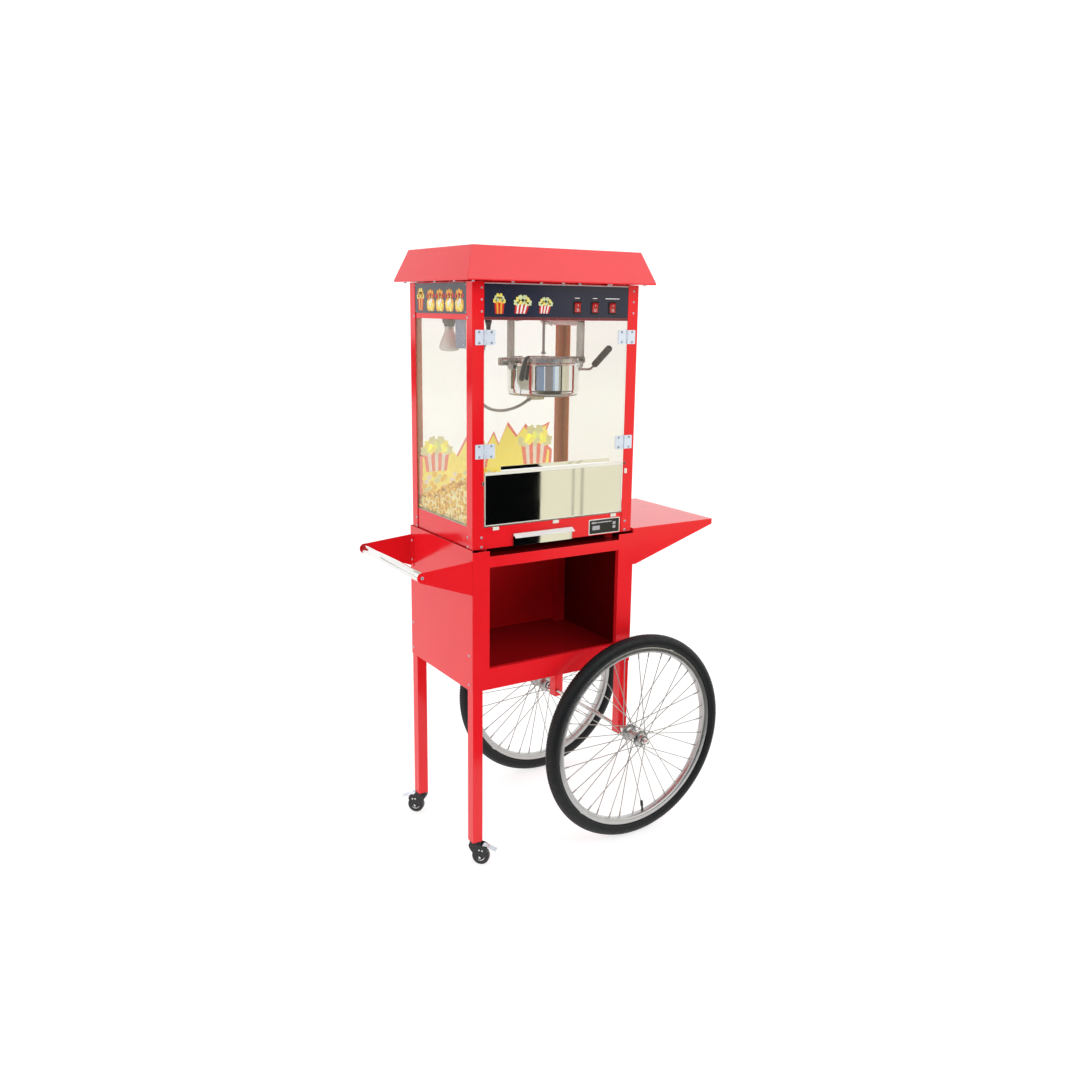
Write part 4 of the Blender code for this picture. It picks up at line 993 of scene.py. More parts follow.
def rear_glass_print():
    """Sunburst and heaped tubs printed on the inside of the rear glass."""
    pr = Print("Y", MACH_D / 2 - 2.6 - 3.25, -1)
    edge = [(-236, 962), (-236, 1098), (-205, 1100), (-190, 1128), (-168, 1098), (-140, 1118), (-118, 1092),
            (-84, 1150), (-58, 1108), (-44, 1122), (-26, 1104), (7, 1158), (24, 1120), (55, 1184), (88, 1142),
            (117, 1176), (138, 1150), (203, 1178), (180, 1120), (212, 1092), (206, 962)]
    pr.ink(edge, 5)
    pr.next()
    cx, cz = -10.0, 1060.0
    pr.ink([(cx + (x - cx) * 0.955, cz + (z - cz) * 0.915) for x, z in edge], 2)
    pr.next()
    for row in range(5):
        for k in range(26):
            x, z = -222 + 16.5 * k + 8 * (row % 2), 978 + 15.0 * row + 5 * math.sin(1.9 * k + row)
            colour = (3, 0, 4, 2, 3)[(k * 3 + row * 7) % 5]
            pr.ink(puff(x, z, 7.5 + 1.2 * math.sin(2.3 * k + row), k, 20), colour)
        pr.next()
    for x, w, h in ((150.0, 100.0, 70.0), (-182.0, 84.0, 60.0), (-44.0, 70.0, 48.0)):
        base = pr.level
        tub(pr, x, 1052.0, w, h, 7, 0.0, (0, 5, 4, 2))
        pr.level = base
    piece("rear_glass_print", pr.geo, FILMS, "stand", sharp=20, weighted=False)


# doors and serving flap -------------------------------------------------------------------
DOOR_T, DOOR_Z0, DOOR_Z1, DOOR_AXIS_X, DOOR_AXIS_Y = 3.5, 1113.0, 1480.0, 221.0, -181.8
HINGE_Z = (1155.0, 1441.0)
FLAP_Z0, FLAP_Z1, FLAP_X = 958.4, 1099.5, 219.6


def doors():
    y0 = Y0 + 0.7
    for s, side in ((-1, "left"), (1, "right")):
        body = side + "_door"
        xs = sorted((s * 219.4, s * 0.8))
        pane = Geo().add(prism("Y", round_rect(xs[0], xs[1], DOOR_Z0, DOOR_Z1, 2.0, 3), y0, y0 + DOOR_T))
        piece("door_pane_" + side, pane, ["clear"], body, bevel=0.4, segs=2,
              replaces=("door_" + side,))
        leaf, post = Geo(), Geo()
        for z in HINGE_Z:
            a, b = sorted((s * 219.0, s * 191.0))
            leaf.add(prism("Y", round_rect(a, b, z - 18.6, z + 18.6, 1.6, 3), DOOR_AXIS_Y + 0.2, y0 - 0.05),
                     0)
            for dz in (-13.4, 13.4):
                screw(leaf, (s * 202.0, DOOR_AXIS_Y + 0.3, z + dz), (0, -1, 0), 3.5, 1.2, 1, 0)
            for k in range(3):
                z0 = z - 18.6 + k * 12.6
                part = [(0, z0), (2.3, z0), (2.55, z0 + 0.4), (2.55, z0 + 11.6), (2.3, z0 + 12.0),
                        (0, z0 + 12.0)]
                (leaf if k != 1 else post).add(
                    lathe("Z", part, 24, (s * DOOR_AXIS_X, DOOR_AXIS_Y), False), 0)
            for z0, z1 in ((z - 18.4, z - 6.8), (z + 6.8, z + 18.4)):
                leaf.add(box(s * DOOR_AXIS_X, s * 217.0, DOOR_AXIS_Y + 0.2, DOOR_AXIS_Y + 2.0, z0, z1), 0)
            a, b = sorted((s * 224.0, s * 248.0))
            post.add(prism("Y", round_rect(a, b, z - 18.6, z + 18.6, 1.6, 3), Y0 - 1.9, Y0 - 0.02), 0)
            post.add(box(s * DOOR_AXIS_X, s * 226.0, DOOR_AXIS_Y + 0.6, Y0 - 0.3, z - 5.8, z + 5.8), 0)
            for dz in (-13.4, 13.4):
                screw(post, (s * 237.0, Y0 - 1.8, z + dz), (0, -1, 0), 3.5, 1.2, 1, 0)
        piece("hinge_leaves_" + side, leaf, ["hinge_zinc", "dark_screw_and_recess_shade"], body, bevel=0.25,
              segs=1)
        piece("hinge_posts_" + side, post, ["hinge_zinc", "dark_screw_and_recess_shade"], "stand",
              bevel=0.25, segs=1)


def serving_flap():
    y0 = Y0 + 0.7
    w = 2.6
    geo = Geo().add(box(-FLAP_X + w, FLAP_X - w, y0 + 0.5, y0 + 2.5, FLAP_Z0 + w, FLAP_Z1 - w), 0)
    frame_strip(geo, -FLAP_X, FLAP_X, FLAP_Z0, FLAP_Z1, w, y0, y0 + 3.0, 1)
    geo.add(box(-FLAP_X, FLAP_X, y0 - 0.2, y0 + 2.4, FLAP_Z1 - 8.0, FLAP_Z1 + 0.1), 1)
    lip = [(y0 + 2.2, FLAP_Z1 - 3.0), (y0 + 25.2, FLAP_Z1 - 2.0), (y0 + 26, FLAP_Z1 + 9.4),
           (y0 + 24.6, FLAP_Z1 + 9.4), (y0 + 23.9, FLAP_Z1 - 0.2), (y0 + 2.2, FLAP_Z1 - 1.2)]
    geo.add(prism("X", lip, -158.0, 192.0), 2)
    piece("flap_mirror", geo, ["mirror", "cream", "mirror"], "flap", bevel=0.25, segs=2,
          replaces=("serving_flap",))
    clips = Geo()
    for x in (-186.0, 1.0, 193.0):
        clips.add(prism("X", rounded([(Y0 + 2.2, 946.0), (Y0 - 1.0, 946.0), (Y0 - 1.6, 952.6),
                                      (Y0 + 0.4, 955.6),
                                      (Y0 + 2.2, 954.0)], 1), x - 9, x + 9), 0)
    clips.add(prism("Y", round_rect(225.6, 233.4, 1067.0, 1081.0, 1.6, 3), Y0 - 3.4, Y0 - 0.05), 0)
    clips.add(box(223.0, 227.0, Y0 - 2.6, Y0 - 0.05, 1092.0, 1101.0), 1)
    clips.add(box(-228.0, -223.2, Y0 - 2.2, Y0 - 0.05, 1066.0, 1076.0), 1)
    piece("flap_clips", clips, ["cream", "black"], "stand", bevel=0.3, segs=2)


def front_base():
    x0, x1 = -131.0, 51.0
    z0, z1 = Z_BASE + 2.8, Z_BASE + 31.0
    y1 = 130.0
    geo = Geo()
    geo.add(box(x0, x1, Y0 + 0.3, y1, z0, z0 + 1.2), 1)
    geo.add(box(x0, x0 + 1.2, Y0 + 0.3, y1, z0 + 1.2, z1), 1)
    geo.add(box(x1 - 1.2, x1, Y0 + 0.3, y1, z0 + 1.2, z1), 1)
    geo.add(box(x0 + 1.2, x1 - 1.2, y1 - 1.2, y1, z0 + 1.2, z1), 1)
    geo.add(box(x0 - 3.0, x1 + 3.0, Y0 - 1.6, Y0 + 0.4, Z_BASE - 0.6, Z_BASE + 33.4), 0)
    hood = [(Y0 - 1.4, Z_BASE + 33.4), (Y0 - 15.5, Z_BASE + 24.6), (Y0 - 15.2, Z_BASE + 23.0),
            (Y0 - 14.4, Z_BASE + 23.2), (Y0 - 1.4, Z_BASE + 31.4)]
    geo.add(prism("X", hood, x0 - 3.0, x1 + 3.0), 2)
    piece("drawer_tray", geo, ["mirror", "brushed_flat", "bright"], "drawer", bevel=0.3,
          segs=2,
          replaces=("crumb_drawer",))
    plate = Geo()
    yp = -(MACH_D / 2 - 2.4)
    plate.add(prism("Y", round_rect(111.6, 217.2, 900.4, 943.2, 2.4, 4), yp - 0.9, yp - 0.05), 0)
    plate.add(prism("Y", round_rect(113.8, 215.0, 902.4, 941.2, 1.6, 4), yp - 1.0, yp - 0.4), 1)
    for a, b, c, d in ((121, 137, 931, 936), (139, 190, 932, 935), (124, 149, 913, 925), (193, 203, 924, 932),
                       (193, 203, 913, 921)):
        plate.add(prism("Y", round_rect(a, b, c, d, 0.8, 2), yp - 1.06, yp - 0.5), 2)
    piece("rating_panel", plate, ["print_white", "black_gloss", "print_grey"], "stand",
          bevel=0.12,
          segs=1)


BAR_AT = (-404.0, 846.0)
CART_HALF_X, CART_HALF_Y = 260.0, 188.5


def screws():
    geo = Geo()
    hy, hx = MACH_D / 2, MACH_W / 2
    for x in (-229.0, 234.0):
        for z in (930.0, 905.0):
            screw(geo, (x, -hy - 0.02, z), (0, -1, 0), 3.4, 1.7)
        for z in (1504.0, 1533.0, 1562.0):
            screw(geo, (x + 6 * (1 if x > 0 else 0), -hy - 0.02, z), (0, -1, 0), 2.8, 1.4)
    for s in (-1, 1):
        for y in (-153.0, 153.0):
            for z in (929.0, 904.0, 1489.0):
                screw(geo, (s * (hx + 0.02), y, z), (s, 0, 0), 3.2, 1.6)
    for x in (-229.0, 229.0):
        for z in (930.0, 905.0, 1504.0, 1562.0):
            screw(geo, (x, hy + 0.02, z), (0, 1, 0), 3.2, 1.6)
    for s in (-1, 1):
        for y, z in ((-167.0, 609.0), (-167.0, 528.0), (178.0, 532.0), (178.0, 609.0)):
            screw(geo, (s * (CART_HALF_X + 0.02), y, z), (s, 0, 0), 3.4, 1.7)
        for z in (532.0, 700.0, 870.0):
            screw(geo, (s * 246.0, CART_HALF_Y + 0.02, z), (0, 1, 0), 3.4, 1.7)
    for sy in (-1, 1):
        screw(geo, (BAR_AT[0], sy * 188.0, BAR_AT[1]), (0, sy, 0), 4.4, 2.0)
        for z in (800.0, 856.0):
            screw(geo, (-262.0, sy * 177.0, z), (-1, 0, 0), 3.4, 1.7)
    eaves = [(x, y) for y in (-196.0, 196.0) for x in (-262.0, -150.0, 0.0, 150.0, 262.0)]
    eaves += [(x, y) for x in (-268.0, 268.0) for y in (-110.0, 0.0, 110.0)]
    for spot in eaves:
        hexnut(geo, "Z", spot, 1575.4, 1578.6, 4.2)
    # the dark crosses on these heads are painted shade in the recesses
    piece("sheet_screws", geo, ["zinc_pale", "dark_screw_and_recess_shade"], "stand", weighted=False)


def handle_bar():
    bar = both_ways([(11.0, 185.8), (12.1, 185.8), (12.5, 185.2)])
    geo = Geo().add(lathe("Y", bar, 64, BAR_AT, True), 0)
    for s in (-1, 1):
        geo.add(lathe("Y", band(0, 10.9, s * 185.7, s * 178), 40, BAR_AT, False), 1)
    piece("push_bar", geo, ["chrome", "black"], "stand", replaces=("handle_bar",),
          weighted=False)


# kettle, drive and lamp -------------------------------------------------------------------
KX, KY, KR = 38.0, -45.0, 99.0
K_BOT, K_RIM, K_AXIS = 1284.0, 1371.0, 1375.0
STRAP_LEFT, STRAP_RIGHT, STRAP_W, STRAP_T = 103.0, 120.4, 36.0, 2.5
CRANK_DY, CRANK_DZ, CRANK_X = -26.0, -25.0, 179.0
GRIP_DIR = Vector((0.0, -0.817, 0.577))


def kettle():
    pan = Geo()
    prof = [(0, K_BOT)]
    prof += [(KR - 9 + 8.6 * math.sin(t), K_BOT + 8.6 - 8.6 * math.cos(t)) for t in
             [math.radians(a) for a in (0, 15, 30, 45, 60, 75, 90)]]
    prof += [(KR - 0.4, K_BOT + 12.6), (KR - 0.05, K_BOT + 13.2), (KR - 0.05, K_BOT + 15.5),
             (KR - 0.05, K_RIM - 8.0), (KR - 0.05, K_RIM - 5.6), (KR + 0.3, K_RIM - 4.2),
             (KR + 1.4, K_RIM - 3.4), (KR + 2.4, K_RIM - 2.6), (KR + 2.5, K_RIM - 1.2), (KR + 1.6,
                                                                                         K_RIM - 0.1),
             (KR - 0.4, K_RIM), (KR - 1.6, K_RIM - 1.0), (KR - 1.8, K_BOT + 14), (KR - 4.5, K_BOT + 7.4),
             (KR - 10, K_BOT + 4.2), (0, K_BOT + 4)]
    pan.add(lathe("Z", prof, 128, (KX, KY), False), 0)
    ring = [(KR - 12, K_BOT - 1.6), (KR - 4, K_BOT - 1.6), (KR - 3.4, K_BOT - 1.0), (KR - 3.4, K_BOT + 1.2),
            (KR - 12, K_BOT + 1.2)]
    pan.add(lathe("Z", ring, 96, (KX, KY), True), 1)
    piece("kettle_pot", pan, ["kettle_steel", "brushed"], "kettle", sharp=40,
          replaces=("kettle_pan",), weighted=False)

    fit = Geo()
    wy, z0, z1 = 12.0, K_RIM - 0.9, K_AXIS + 9
    for s, reach, tip in ((-1, 101.8, 126.8), (1, 112.0, 136.8)):
        fit.add(box(KX - 101.8, KX + 112, KY + s * wy, KY + s * (wy - 1.8), z0 + 3.6, z1), 0)
        fit.add(box(KX + s * reach, KX + s * (reach - 2), KY - wy + 1.8, KY + wy - 1.8, z0 + 3.6, z1), 0)
        fit.add(box(KX + s * 7.2, KX + s * (reach - 2), KY - wy + 1.6, KY + wy - 1.6, z1 - 1.8, z1 - 0.1), 0)
        pin = [(0, KX + s * 100), (4.9, KX + s * 100), (4.9, KX + s * (tip - 1)), (4.0, KX + s * tip),
               (0, KX + s * tip)]
        fit.add(lathe("X", pin, 32, (KY, K_AXIS), False), 1)
        for dx in (30, 88):
            screw(fit, (KX + s * dx, KY - wy, K_AXIS + 4.6), (0, -1, 0), 2.6, 1.2, 1, 3)
    fit.add(lathe("Z", band(5.3, 7.6, z1 - 1.9, z1 - 0.05), 32, (KX, KY), True), 1)
    # bearing bracket outside the left strap and collar outside the right one
    x0, x1 = KX - 137, KX - 115
    for a, b in ((x0, x0 + 2.4), (x1 - 2.4, x1)):
        fit.add(prism("X", round_rect(KY - 11, KY + 11, K_AXIS - 12, K_AXIS + 8, 2.5, 4), a, b), 1)
    fit.add(box(x0 + 1, x1 - 1, KY - 10.4, KY + 10.4, K_AXIS - 11.6, K_AXIS - 9.8), 1)
    fit.add(lathe("X", band(5.0, 9.2, x0 + 1, x1 - 1), 28, (KY, K_AXIS), True), 1)
    hexnut(fit, "X", (KY, K_AXIS), x0 - 0.05, x0 + 1.0, 6.5, 2)
    fit.add(lathe("X", [(4.8, KX + 125), (9.4, KX + 125), (10, KX + 125.6), (10, KX + 133.4), (9.4, KX + 134),
                        (4.8, KX + 134)], 36, (KY, K_AXIS), True), 1)
    # heater terminal box under the pan
    zb, zt = K_BOT - 15, K_BOT - 0.2
    fit.add(box(KX - 44, KX - 4, KY - 14, KY + 14, zb + 1.5, zt), 4)
    fit.add(box(KX - 43, KX - 5, KY - 13, KY + 13, zb, zb + 1.6), 4)
    fit.add(lathe("X", [(4.3, KX - 46), (6.4, KX - 46), (6.8, KX - 45), (6.8, KX - 43), (4.3, KX - 43)], 24,
                  (KY, K_BOT - 14), True), 2)
    for dx in (-38, -10):
        screw(fit, (KX + dx, KY - 14, zb + 8), (0, -1, 0), 2.2, 1.0, 1, 3)
    # crank rod with its clamp plate
    rod_y, rod_z = KY + CRANK_DY, K_AXIS + CRANK_DZ
    edge = KX + math.sqrt(KR * KR - CRANK_DY * CRANK_DY)
    fit.add(prism("X", round_rect(rod_y - 8, rod_y + 8, rod_z - 9, rod_z + 9, 2, 3), edge - 0.8,
                  edge + 1.6), 1)
    fit.add(lathe("X", [(0, edge + 1), (6.0, edge + 1), (6.0, edge + 7.4), (5.2, edge + 8.6),
                        (0, edge + 8.6)], 6,
                  (rod_y, rod_z), False), 1)
    bend = Vector((CRANK_X, rod_y, rod_z))
    path = curve_through([(edge + 6, rod_y, rod_z), (edge + 20, rod_y, rod_z),
                          (CRANK_X - 14, rod_y, rod_z - 0.6),
                          (CRANK_X - 4, rod_y - 2, rod_z), bend + GRIP_DIR * 9, bend + GRIP_DIR * 20.4], 6)
    fit.add(tube(path, 3.3, 16), 1)
    # latch plate that hangs beside the pan
    fit.add(prism("Y", rounded([(KX + 99, K_AXIS - 8), (KX + 108, K_AXIS - 8), (KX + 108, K_AXIS - 44),
                                (KX + 105, K_AXIS - 66), (KX + 101, K_AXIS - 66), (KX + 99, K_AXIS - 40)], 1),
                  KY - 9, KY + 5), 0)
    piece("kettle_fittings", fit, ["brushed", "grey_steel", "zinc", "black", "brass_box"], "kettle",
          bevel=0.35, segs=2)

    radii = [8.9 + (0.6 if (k // 2) % 2 else 0.0) for k in range(88)]
    for k in range(3):
        radii[k] = radii[87 - k] = 9.3 - 0.55 * (3 - k)
    grip = Geo().add(tube([bend + GRIP_DIR * (20.5 + k) for k in range(88)], radii, 28))
    piece("crank_sleeve", grip, ["grip_black"], "kettle", replaces=("crank_grip",), sharp=50,
          weighted=False)


def lid_arc(s, r, a0, a1, n=56):
    """Arc of a half lid: s is -1 for the front lid and 1 for the rear one."""
    turns = [math.radians(a0 + k * (a1 - a0) / n) for k in range(n + 1)]
    return [(KX + r * math.cos(t), KY + s * r * math.sin(t)) for t in turns]


def lids():
    z0 = K_RIM + 0.5
    for s, tag in ((-1, "front"), (1, "rear")):
        ax_y = KY + s * 16.0
        lid = Geo()
        outline = lid_arc(s, KR - 2, 9.6, 170.4)
        lid.add(prism("Z", outline, z0, z0 + 1.2), 0)
        # the rear lid's flange is notched where the drive shaft passes it with lid and kettle both tipped
        for a0, a1 in ((20, 160),) if s < 0 else ((20, 84), (96, 160)):
            wall = lid_arc(s, KR - 2.2, a0, a1) + lid_arc(s, KR - 3.8, a1, a0)
            lid.add(prism("Z", wall, z0 + 1.0, z0 + 11.0), 1)
        raised = [(KX + (x - KX) * 0.82, KY + s * 20 + (y - KY - s * 20) * 0.82) for x, y in outline]
        lid.add(prism("Z", raised, z0 + 1.0, z0 + 2.2), 0)
        lid.add(lathe("X", band(0, 2.3, KX - 45, KX + 45), 20, (ax_y, z0 + 3.2), False), 1)
        if s < 0:
            # black lifting tab over the left front of the rim
            tab = [(-43, -100, K_AXIS + 11.8), (-53, -105.5, K_AXIS + 8), (-58, -103.5, K_AXIS - 7),
                   (-61.5, -99.5, K_AXIS - 30), (-63.5, -96.5, K_AXIS - 50)]
            lid.add(tube([(-20, -88, z0 + 2.6), (-33, -95, z0 + 12.5), (-44, -100.5, K_AXIS + 11.8)],
                         [2.6, 2.6, 2.6],
                         12), 1)
            line = curve_through(tab, 5)
            last = len(line) - 1
            radii = [4.0 + 3.8 * k / last for k in range(last + 1)]
            radii[-1] *= 0.7
            lid.add(tube(line, radii, 18), 2)
        piece("kettle_lid_plate_" + tag, lid, ["chrome", "brushed", "black"], tag + "_lid",
              bevel=0.25, segs=1, replaces=("kettle_lid_" + tag,))


def stirring_gear():
    geo = Geo()
    shaft = [(0, K_BOT + 4.9), (3.6, K_BOT + 4.9), (4, K_BOT + 5.5), (4, K_AXIS + 9.4), (6.7, K_AXIS + 9.4),
             (7, K_AXIS + 9.8), (7, K_AXIS + 10.8), (4.4, K_AXIS + 12.9), (0, K_AXIS + 12.9)]
    geo.add(lathe("Z", shaft, 32, (KX, KY), False), 0)
    geo.add(prism("Z", round_rect(KX - 82, KX + 82, KY - 5, KY + 5, 3, 3), K_BOT + 5.1, K_BOT + 8.0), 1)
    geo.add(box(KX - 82, KX - 77, KY - 4.5, KY + 4.5, K_BOT + 7.0, K_BOT + 30.0), 1)
    piece("stirrer_blade", geo, ["chrome", "brushed"], "stirrer_body", bevel=0.3, segs=2,
          replaces=("stirrer",))
    top = Geo()
    prof = [(0, K_AXIS + 15.8), (4.2, K_AXIS + 15.8), (4.6, K_AXIS + 16.2), (4.6, K_AXIS + 17.4),
            (6.6, K_AXIS + 17.4),
            (7, K_AXIS + 17.8), (7, K_AXIS + 22.6), (6.6, K_AXIS + 23), (4, K_AXIS + 23), (4,
                                                                                           Z_GLASS_TOP + 26),
            (0, Z_GLASS_TOP + 26)]
    top.add(lathe("Z", prof, 32, (KX, KY), False), 0)
    top.add(lathe("Z", band(4.05, 7.4, Z_GLASS_TOP - 6, Z_GLASS_TOP - 1), 32, (KX, KY), True), 0)
    piece("drive_rod", top, ["brushed"], "shaft_body", replaces=("drive_shaft",),
          weighted=False)


def hangers():
    for s, reach, side in ((-1, STRAP_LEFT, "left"), (1, STRAP_RIGHT, "right")):
        geo = Geo()
        x0, x1 = sorted((KX + s * reach, KX + s * (reach + STRAP_T)))
        w = STRAP_W / 2
        out = [(KY - w, Z_GLASS_TOP), (KY - w, K_AXIS - 4), (KY - w * 0.72, K_AXIS - 20),
               (KY - w * 0.3, K_AXIS - 24),
               (KY + w * 0.3, K_AXIS - 24), (KY + w * 0.72, K_AXIS - 20), (KY + w, K_AXIS - 4),
               (KY + w, Z_GLASS_TOP)]
        geo.add(prism("X", out, x0, x1), 0)
        foot = sorted((KX + s * reach, KX + s * (reach - 22)))
        geo.add(box(foot[0], foot[1] + 0.5, KY - w + 0.1, KY + w - 0.1, Z_GLASS_TOP - 2.2,
                    Z_GLASS_TOP - 0.1), 0)
        for dy in (-10, 10):
            screw(geo, (KX + s * (reach - 12), KY + dy, Z_GLASS_TOP - 2.2), (0, 0, -1), 3.2, 1.6, 1, 2)
        face = x1 if s > 0 else x0
        geo.add(lathe("X", band(5.2, 9.6, face, face + s * 1.2), 32, (KY, K_AXIS), True), 1)
        piece("hanger_strap_" + side, geo, ["brushed", "zinc", "black"], "stand",
              bevel=0.35, segs=2,
              replaces=("hanger_" + side,))
    hood = Geo()
    hood.add(prism("Y", [(50, 1482.6), (62, 1470.5), (138, 1468.6), (146, 1475), (146, 1482.6)], KY - 8,
                   KY + 44), 0)
    hood.add(prism("Y", [(48, 1482.4), (44, 1482.4), (44, 1476), (56, 1466.5), (58, 1468.5), (48, 1478)],
                   KY - 12, KY - 9), 1)
    piece("ceiling_hood", hood, ["print_white", "brushed"], "stand", bevel=0.4, segs=2)


def gearmotor():
    z0 = Z_GLASS_TOP + 2.6
    geo = Geo()
    geo.add(prism("Z", round_rect(KX - 42, KX + 42, KY - 36, KY + 36, 5, 4), z0 + 4, z0 + 30), 0)
    geo.add(lathe("Z", band(4.3, 16, z0, z0 + 5), 40, (KX, KY), True), 0)
    can = [(0, z0 + 29), (31, z0 + 29), (31, z0 + 33), (29.6, z0 + 34), (29.6, z0 + 70), (31, z0 + 71),
           (31, z0 + 76),
           (28, z0 + 78), (0, z0 + 78)]
    geo.add(lathe("Z", can, 48, (KX, KY), False), 1)
    for dx in (-36, 36):
        for dy in (-30, 30):
            screw(geo, (KX + dx, KY + dy, z0 + 30), (0, 0, 1), 2.8, 1.6, 1, 2)
    piece("gearmotor_case", geo, ["alloy", "zinc", "black"], "stand", bevel=0.4, segs=2,
          replaces=("gearmotor",))


def lamp():
    x, y = -176.0, 100.0
    hold = Geo()
    prof = [(13.4, 1462.2), (14.6, 1462.2), (14.8, 1463), (14.8, 1470.0), (18.6, 1471.5), (19, 1472.4),
            (19, Z_GLASS_TOP - 0.1), (13.4, Z_GLASS_TOP - 0.1)]
    hold.add(lathe("Z", prof, 48, (x, y), True), 0)
    piece("lamp_socket", hold, ["black"], "stand", replaces=("lamp_holder",), weighted=False)
    bulb = Geo()
    prof = [(0, 1394.2), (9, 1394.5), (17, 1395.6), (23, 1397.6), (26.6, 1400.6), (27.9, 1404.4),
            (27.9, 1408),
            (26.4, 1416), (22.8, 1426), (18.4, 1436), (15.0, 1444), (13.0, 1450), (12.5, 1455)]
    bulb.add(lathe("Z", prof + [(0, 1455)], 64, (x, y), False), 0)
    cap = [(0, 1454), (12.7, 1454)]
    for k in range(6):
        cap += [(12.8, 1456 + 3.4 * k), (12.0, 1457.7 + 3.4 * k)]
    cap += [(11, 1477), (6, 1479), (0, 1479.3)]
    bulb.add(lathe("Z", cap, 40, (x, y), False), 1)
    piece("reflector_lamp", bulb, ["bulb", "brushed"], "stand", replaces=("heat_lamp",),
          sharp=60,
          weighted=False)
    plate = Geo()
    plate.add(prism("X", round_rect(-43, 13, 1408.0, Z_GLASS_TOP - 0.3, 2.0, 3), -203.0, -200.6), 0)
    plate.add(box(-200.8, -188.0, -42.6, 12.6, Z_GLASS_TOP - 2.0, Z_GLASS_TOP - 0.3), 0)
    for y, z in ((-33, 1418), (3, 1418)):
        screw(plate, (-203.0, y, z), (-1, 0, 0), 2.8, 1.2, 1, 2)
    piece("lamp_shield", plate, ["blue_plate", "zinc", "black"], "stand", bevel=0.4, segs=2)


# flexible lead between header and pan -----------------------------------------------------
CORD_X = -135.0
CORD_ROUTE = [(CORD_X, Z_GLASS_TOP - 0.2), (-135.5, 1466), (-139, 1441), (-148, 1412), (-159, 1381),
              (-167, 1348),
              (-170, 1317), (-167, 1289), (-156, 1267), (-138, 1252.5), (-115, 1244.5), (-88, 1242.5), (-62,
                                                                                                        1246),
              (-40, 1252.5), (-23, 1260.5), (KX - 46.0, 1270)]


def kettle_lead():
    line = curve_through([(x, KY, z) for x, z in CORD_ROUTE], 8)
    radii = [4.0 if k % 2 else 3.9 for k in range(len(line))]
    lead = piece("kettle_lead", Geo().add(tube(line, radii, 20)), ["sleeve"], None, sharp=180,
                 replaces=("kettle_cord",), weighted=False)
    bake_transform(lead)
    gland = Geo()
    prof = [(4.2, Z_GLASS_TOP - 26), (5.4, Z_GLASS_TOP - 26), (6.4, Z_GLASS_TOP - 16),
            (7.6, Z_GLASS_TOP - 10),
            (9.0, Z_GLASS_TOP - 9), (9.0, Z_GLASS_TOP - 0.2), (4.2, Z_GLASS_TOP - 0.2)]
    gland.add(lathe("Z", prof, 32, (CORD_X, KY), True), 0)
    piece("cord_gland", gland, ["black"], "stand", sharp=30, weighted=False)


# popped corn ------------------------------------------------------------------------------
def heap_height(x, y):
    heap = math.exp(-((x + 230) / 190) ** 2 - ((y + 130) / 210) ** 2)
    h = 20 + 88 * heap + 8 * math.sin(x * 0.047 + 1.3) * math.cos(y * 0.052)
    return max(h + 4 * math.sin(x * 0.19) * math.sin(y * 0.21 + 0.7), 8)


def kernel_shape(rng):
    """One popped kernel: a sphere pushed out into lobes, with a hull value for each vertex."""
    bm = bmesh.new()
    bmesh.ops.create_icosphere(bm, subdivisions=3, radius=1.0)
    lobes = []
    for _ in range(rng.randint(4, 5)):
        way = Vector((rng.gauss(0, 1), rng.gauss(0, 1), rng.gauss(0, 0.8))).normalized()
        lobes.append((way, rng.uniform(0.75, 1.1), rng.uniform(3.6, 6.4)))
    hull_way = Vector((rng.gauss(0, 1), rng.gauss(0, 1), rng.gauss(0, 1))).normalized()
    verts, shade = [], []
    for v in bm.verts:
        d = v.co.normalized()
        best = 0.0
        for way, size, tight in lobes:
            best = max(best, size * math.exp(tight * (d.dot(way) - 1)))
        r = 0.42 + 0.62 * best
        hull = max(0.0, (d.dot(hull_way) - 0.82) / 0.18)
        r -= 0.16 * hull
        verts.append(tuple(d * r))
        # first value is high between the lobes, where the material darkens the corn partly as painted shade
        shade.append((min(1.0, max(0.0, 1.0 - best * 1.05)), hull))
    faces = [tuple(v.index for v in f.verts) for f in bm.faces]
    bm.free()
    return verts, faces, shade


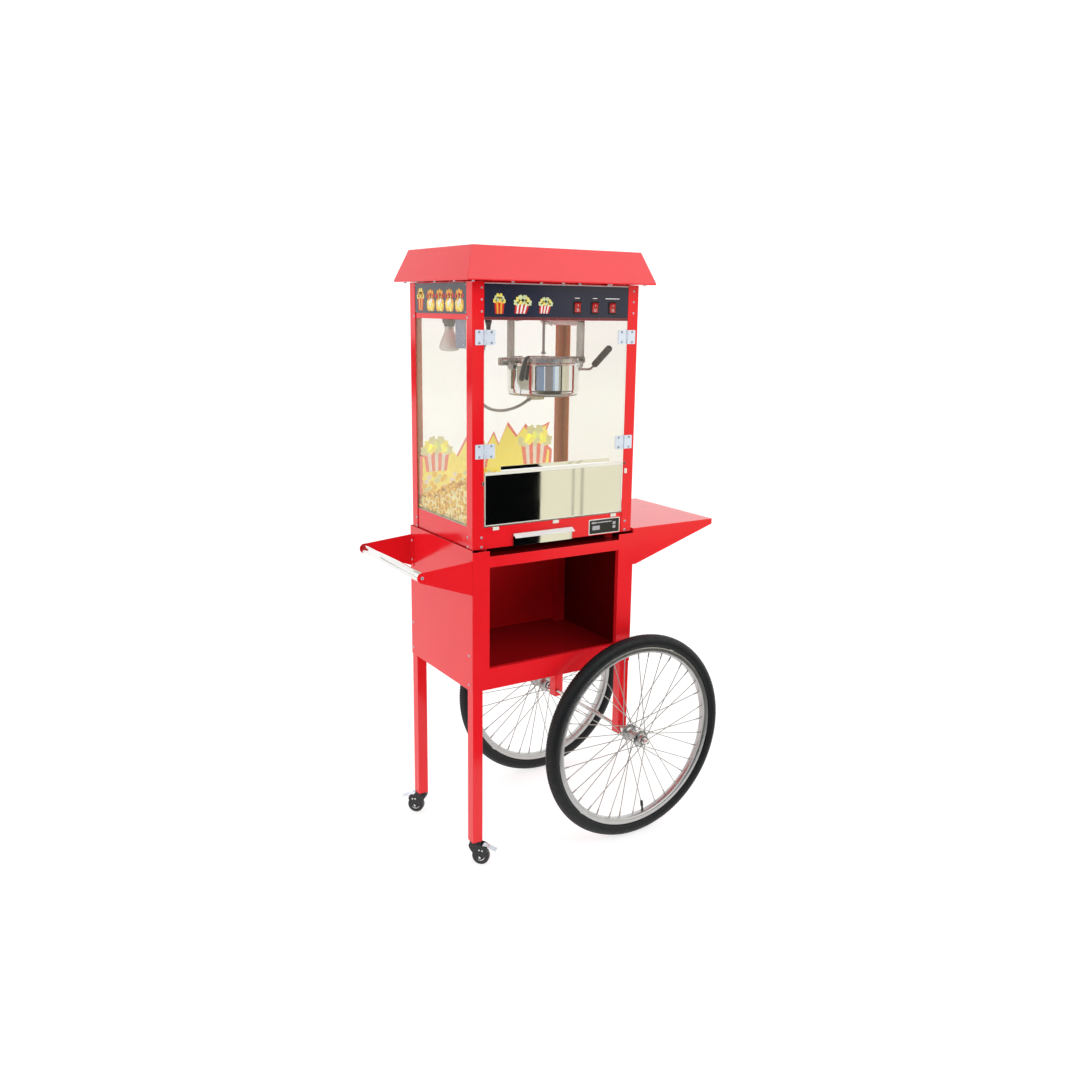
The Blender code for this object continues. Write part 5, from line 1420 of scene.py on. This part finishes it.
def popcorn():
    rng = random.Random(11)
    shapes = [kernel_shape(rng) for _ in range(9)]
    spots = []
    x0, x1, y0, y1, z0 = -246.0, 246.0, -146.0, 166.0, Z_DECK + 2.0
    step = 17.5
    nx, ny = int((x1 - x0 - 14) / step), int((y1 - y0 - 14) / step)
    for i in range(nx + 1):
        for j in range(ny + 1):
            x = x0 + 8 + (x1 - x0 - 16) * i / nx + rng.uniform(-4, 4)
            y = y0 + 8 + (y1 - y0 - 16) * j / ny + rng.uniform(-4, 4)
            x, y = min(max(x, x0 + 8), x1 - 8), min(max(y, y0 + 8), y1 - 8)
            spots.append((x, y, z0 + heap_height(x, y) - 7 + rng.uniform(-3, 2)))
    for x, y, z in list(spots):
        if rng.random() < 0.35:
            xx = min(max(x + rng.uniform(-9, 9), x0 + 9), x1 - 9)
            yy = min(max(y + rng.uniform(-9, 9), y0 + 9), y1 - 9)
            spots.append((xx, yy, z + rng.uniform(4, 8)))
    for wall in range(4):
        span = (y1 - y0) if wall < 2 else (x1 - x0)
        for k in range(int(span / 15.5)):
            t = (k + 0.5) * 15.5
            x, y = ((x0 + 6.5, y0 + t), (x1 - 6.5, y0 + t), (x0 + t, y1 - 6.5), (x0 + t, y0 + 6.5))[wall]
            top = heap_height(x, y)
            z = z0 + 8
            while z < z0 + top - 10:
                j1, j2 = rng.uniform(-3, 3), rng.uniform(-3, 3)
                spots.append((x + (j1 if wall > 1 else 0), y + (j1 if wall < 2 else 0), z + j2))
                z += 14.5
    verts, faces, crease_shade, hulls, tint = [], [], [], [], []
    for x, y, z in spots:
        sv, sf, ss = shapes[rng.randrange(len(shapes))]
        size = rng.uniform(10.4, 13.4)
        turn = Matrix.Rotation(rng.uniform(0, 6.283), 4, "X") @ Matrix.Rotation(rng.uniform(0, 6.283), 4, "Z")
        turn = Matrix.Rotation(rng.uniform(0, 6.283), 4, "Y") @ turn
        base = len(verts)
        t = rng.random()
        for p, (c, h) in zip(sv, ss):
            q = turn @ (Vector(p) * size)
            verts.append(P(min(max(x + q.x, x0 - 3.6), x1 + 3.6), min(max(y + q.y, y0 - 3), y1 + 4),
                           max(z + q.z, z0 + 0.2)))
            crease_shade.append(c)
            hulls.append(h)
            tint.append(t)
        faces += [tuple(base + i for i in f) for f in sf]
    mesh = bpy.data.meshes.new("popcorn_kernels")
    mesh.from_pydata(verts, [], faces)
    for name, vals in (("crease_shade", crease_shade), ("hull", hulls), ("tint", tint)):
        att = mesh.attributes.new(name, "FLOAT", "POINT")
        att.data.foreach_set("value", np.array(vals, np.float32))
    mesh.materials.append(M["kernel"])
    for poly in mesh.polygons:
        poly.use_smooth = True
    ob = bpy.data.objects.new("popcorn_kernels", mesh)
    bpy.context.scene.collection.objects.link(ob)
    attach(ob, "stand")
    # packed corn under the loose kernels
    n1, n2 = 96, 60
    v, f = [], []
    for j in range(n2 + 1):
        for i in range(n1 + 1):
            x, y = x0 + 2 + (x1 - x0 - 4) * i / n1, y0 + 2 + (y1 - y0 - 4) * j / n2
            lump = 2.4 * math.sin(x * 0.41 + 2 * math.sin(y * 0.13))
            lump *= math.sin(y * 0.37 + 1.6 * math.sin(x * 0.11))
            v.append((x, y, z0 + max(heap_height(x, y) - 12 + lump, 3)))
    row = n1 + 1
    f += [(j * row + i, j * row + i + 1, (j + 1) * row + i + 1, (j + 1) * row + i)
          for j in range(n2) for i in range(n1)]
    edge = [i for i in range(n1 + 1)] + [j * row + n1 for j in range(1, n2 + 1)]
    edge += [n2 * row + i for i in range(n1 - 1, -1, -1)] + [j * row for j in range(n2 - 1, 0, -1)]
    top = len(v)
    v += [(v[e][0], v[e][1], z0 + 0.1) for e in edge]
    m = len(edge)
    f += [(edge[k], top + k, top + (k + 1) % m, edge[(k + 1) % m]) for k in range(m)]
    f.append(tuple(range(top, top + m)))
    piece("popcorn_bed", Geo().add((v, f)), ["corn"], "stand", replaces=("popcorn_pile",),
          weighted=False, sharp=80)


def main():
    set_camera()
    set_stage()
    kettle_lead()
    for build in (red_skins, control_panel, rockers, fascia_pictures, side_signs, rear_glass_print, doors,
                  serving_flap, front_base, screws, handle_bar, build_wheels, casters, kettle, lids,
                  stirring_gear, hangers, gearmotor, lamp, popcorn):
        build()
    # CAD nodes that no piece replaces are shown in brushed steel
    for node in nodes.values():
        if not node.hide_render:
            node.data.materials.clear()
            node.data.materials.append(M["brushed"])


main()
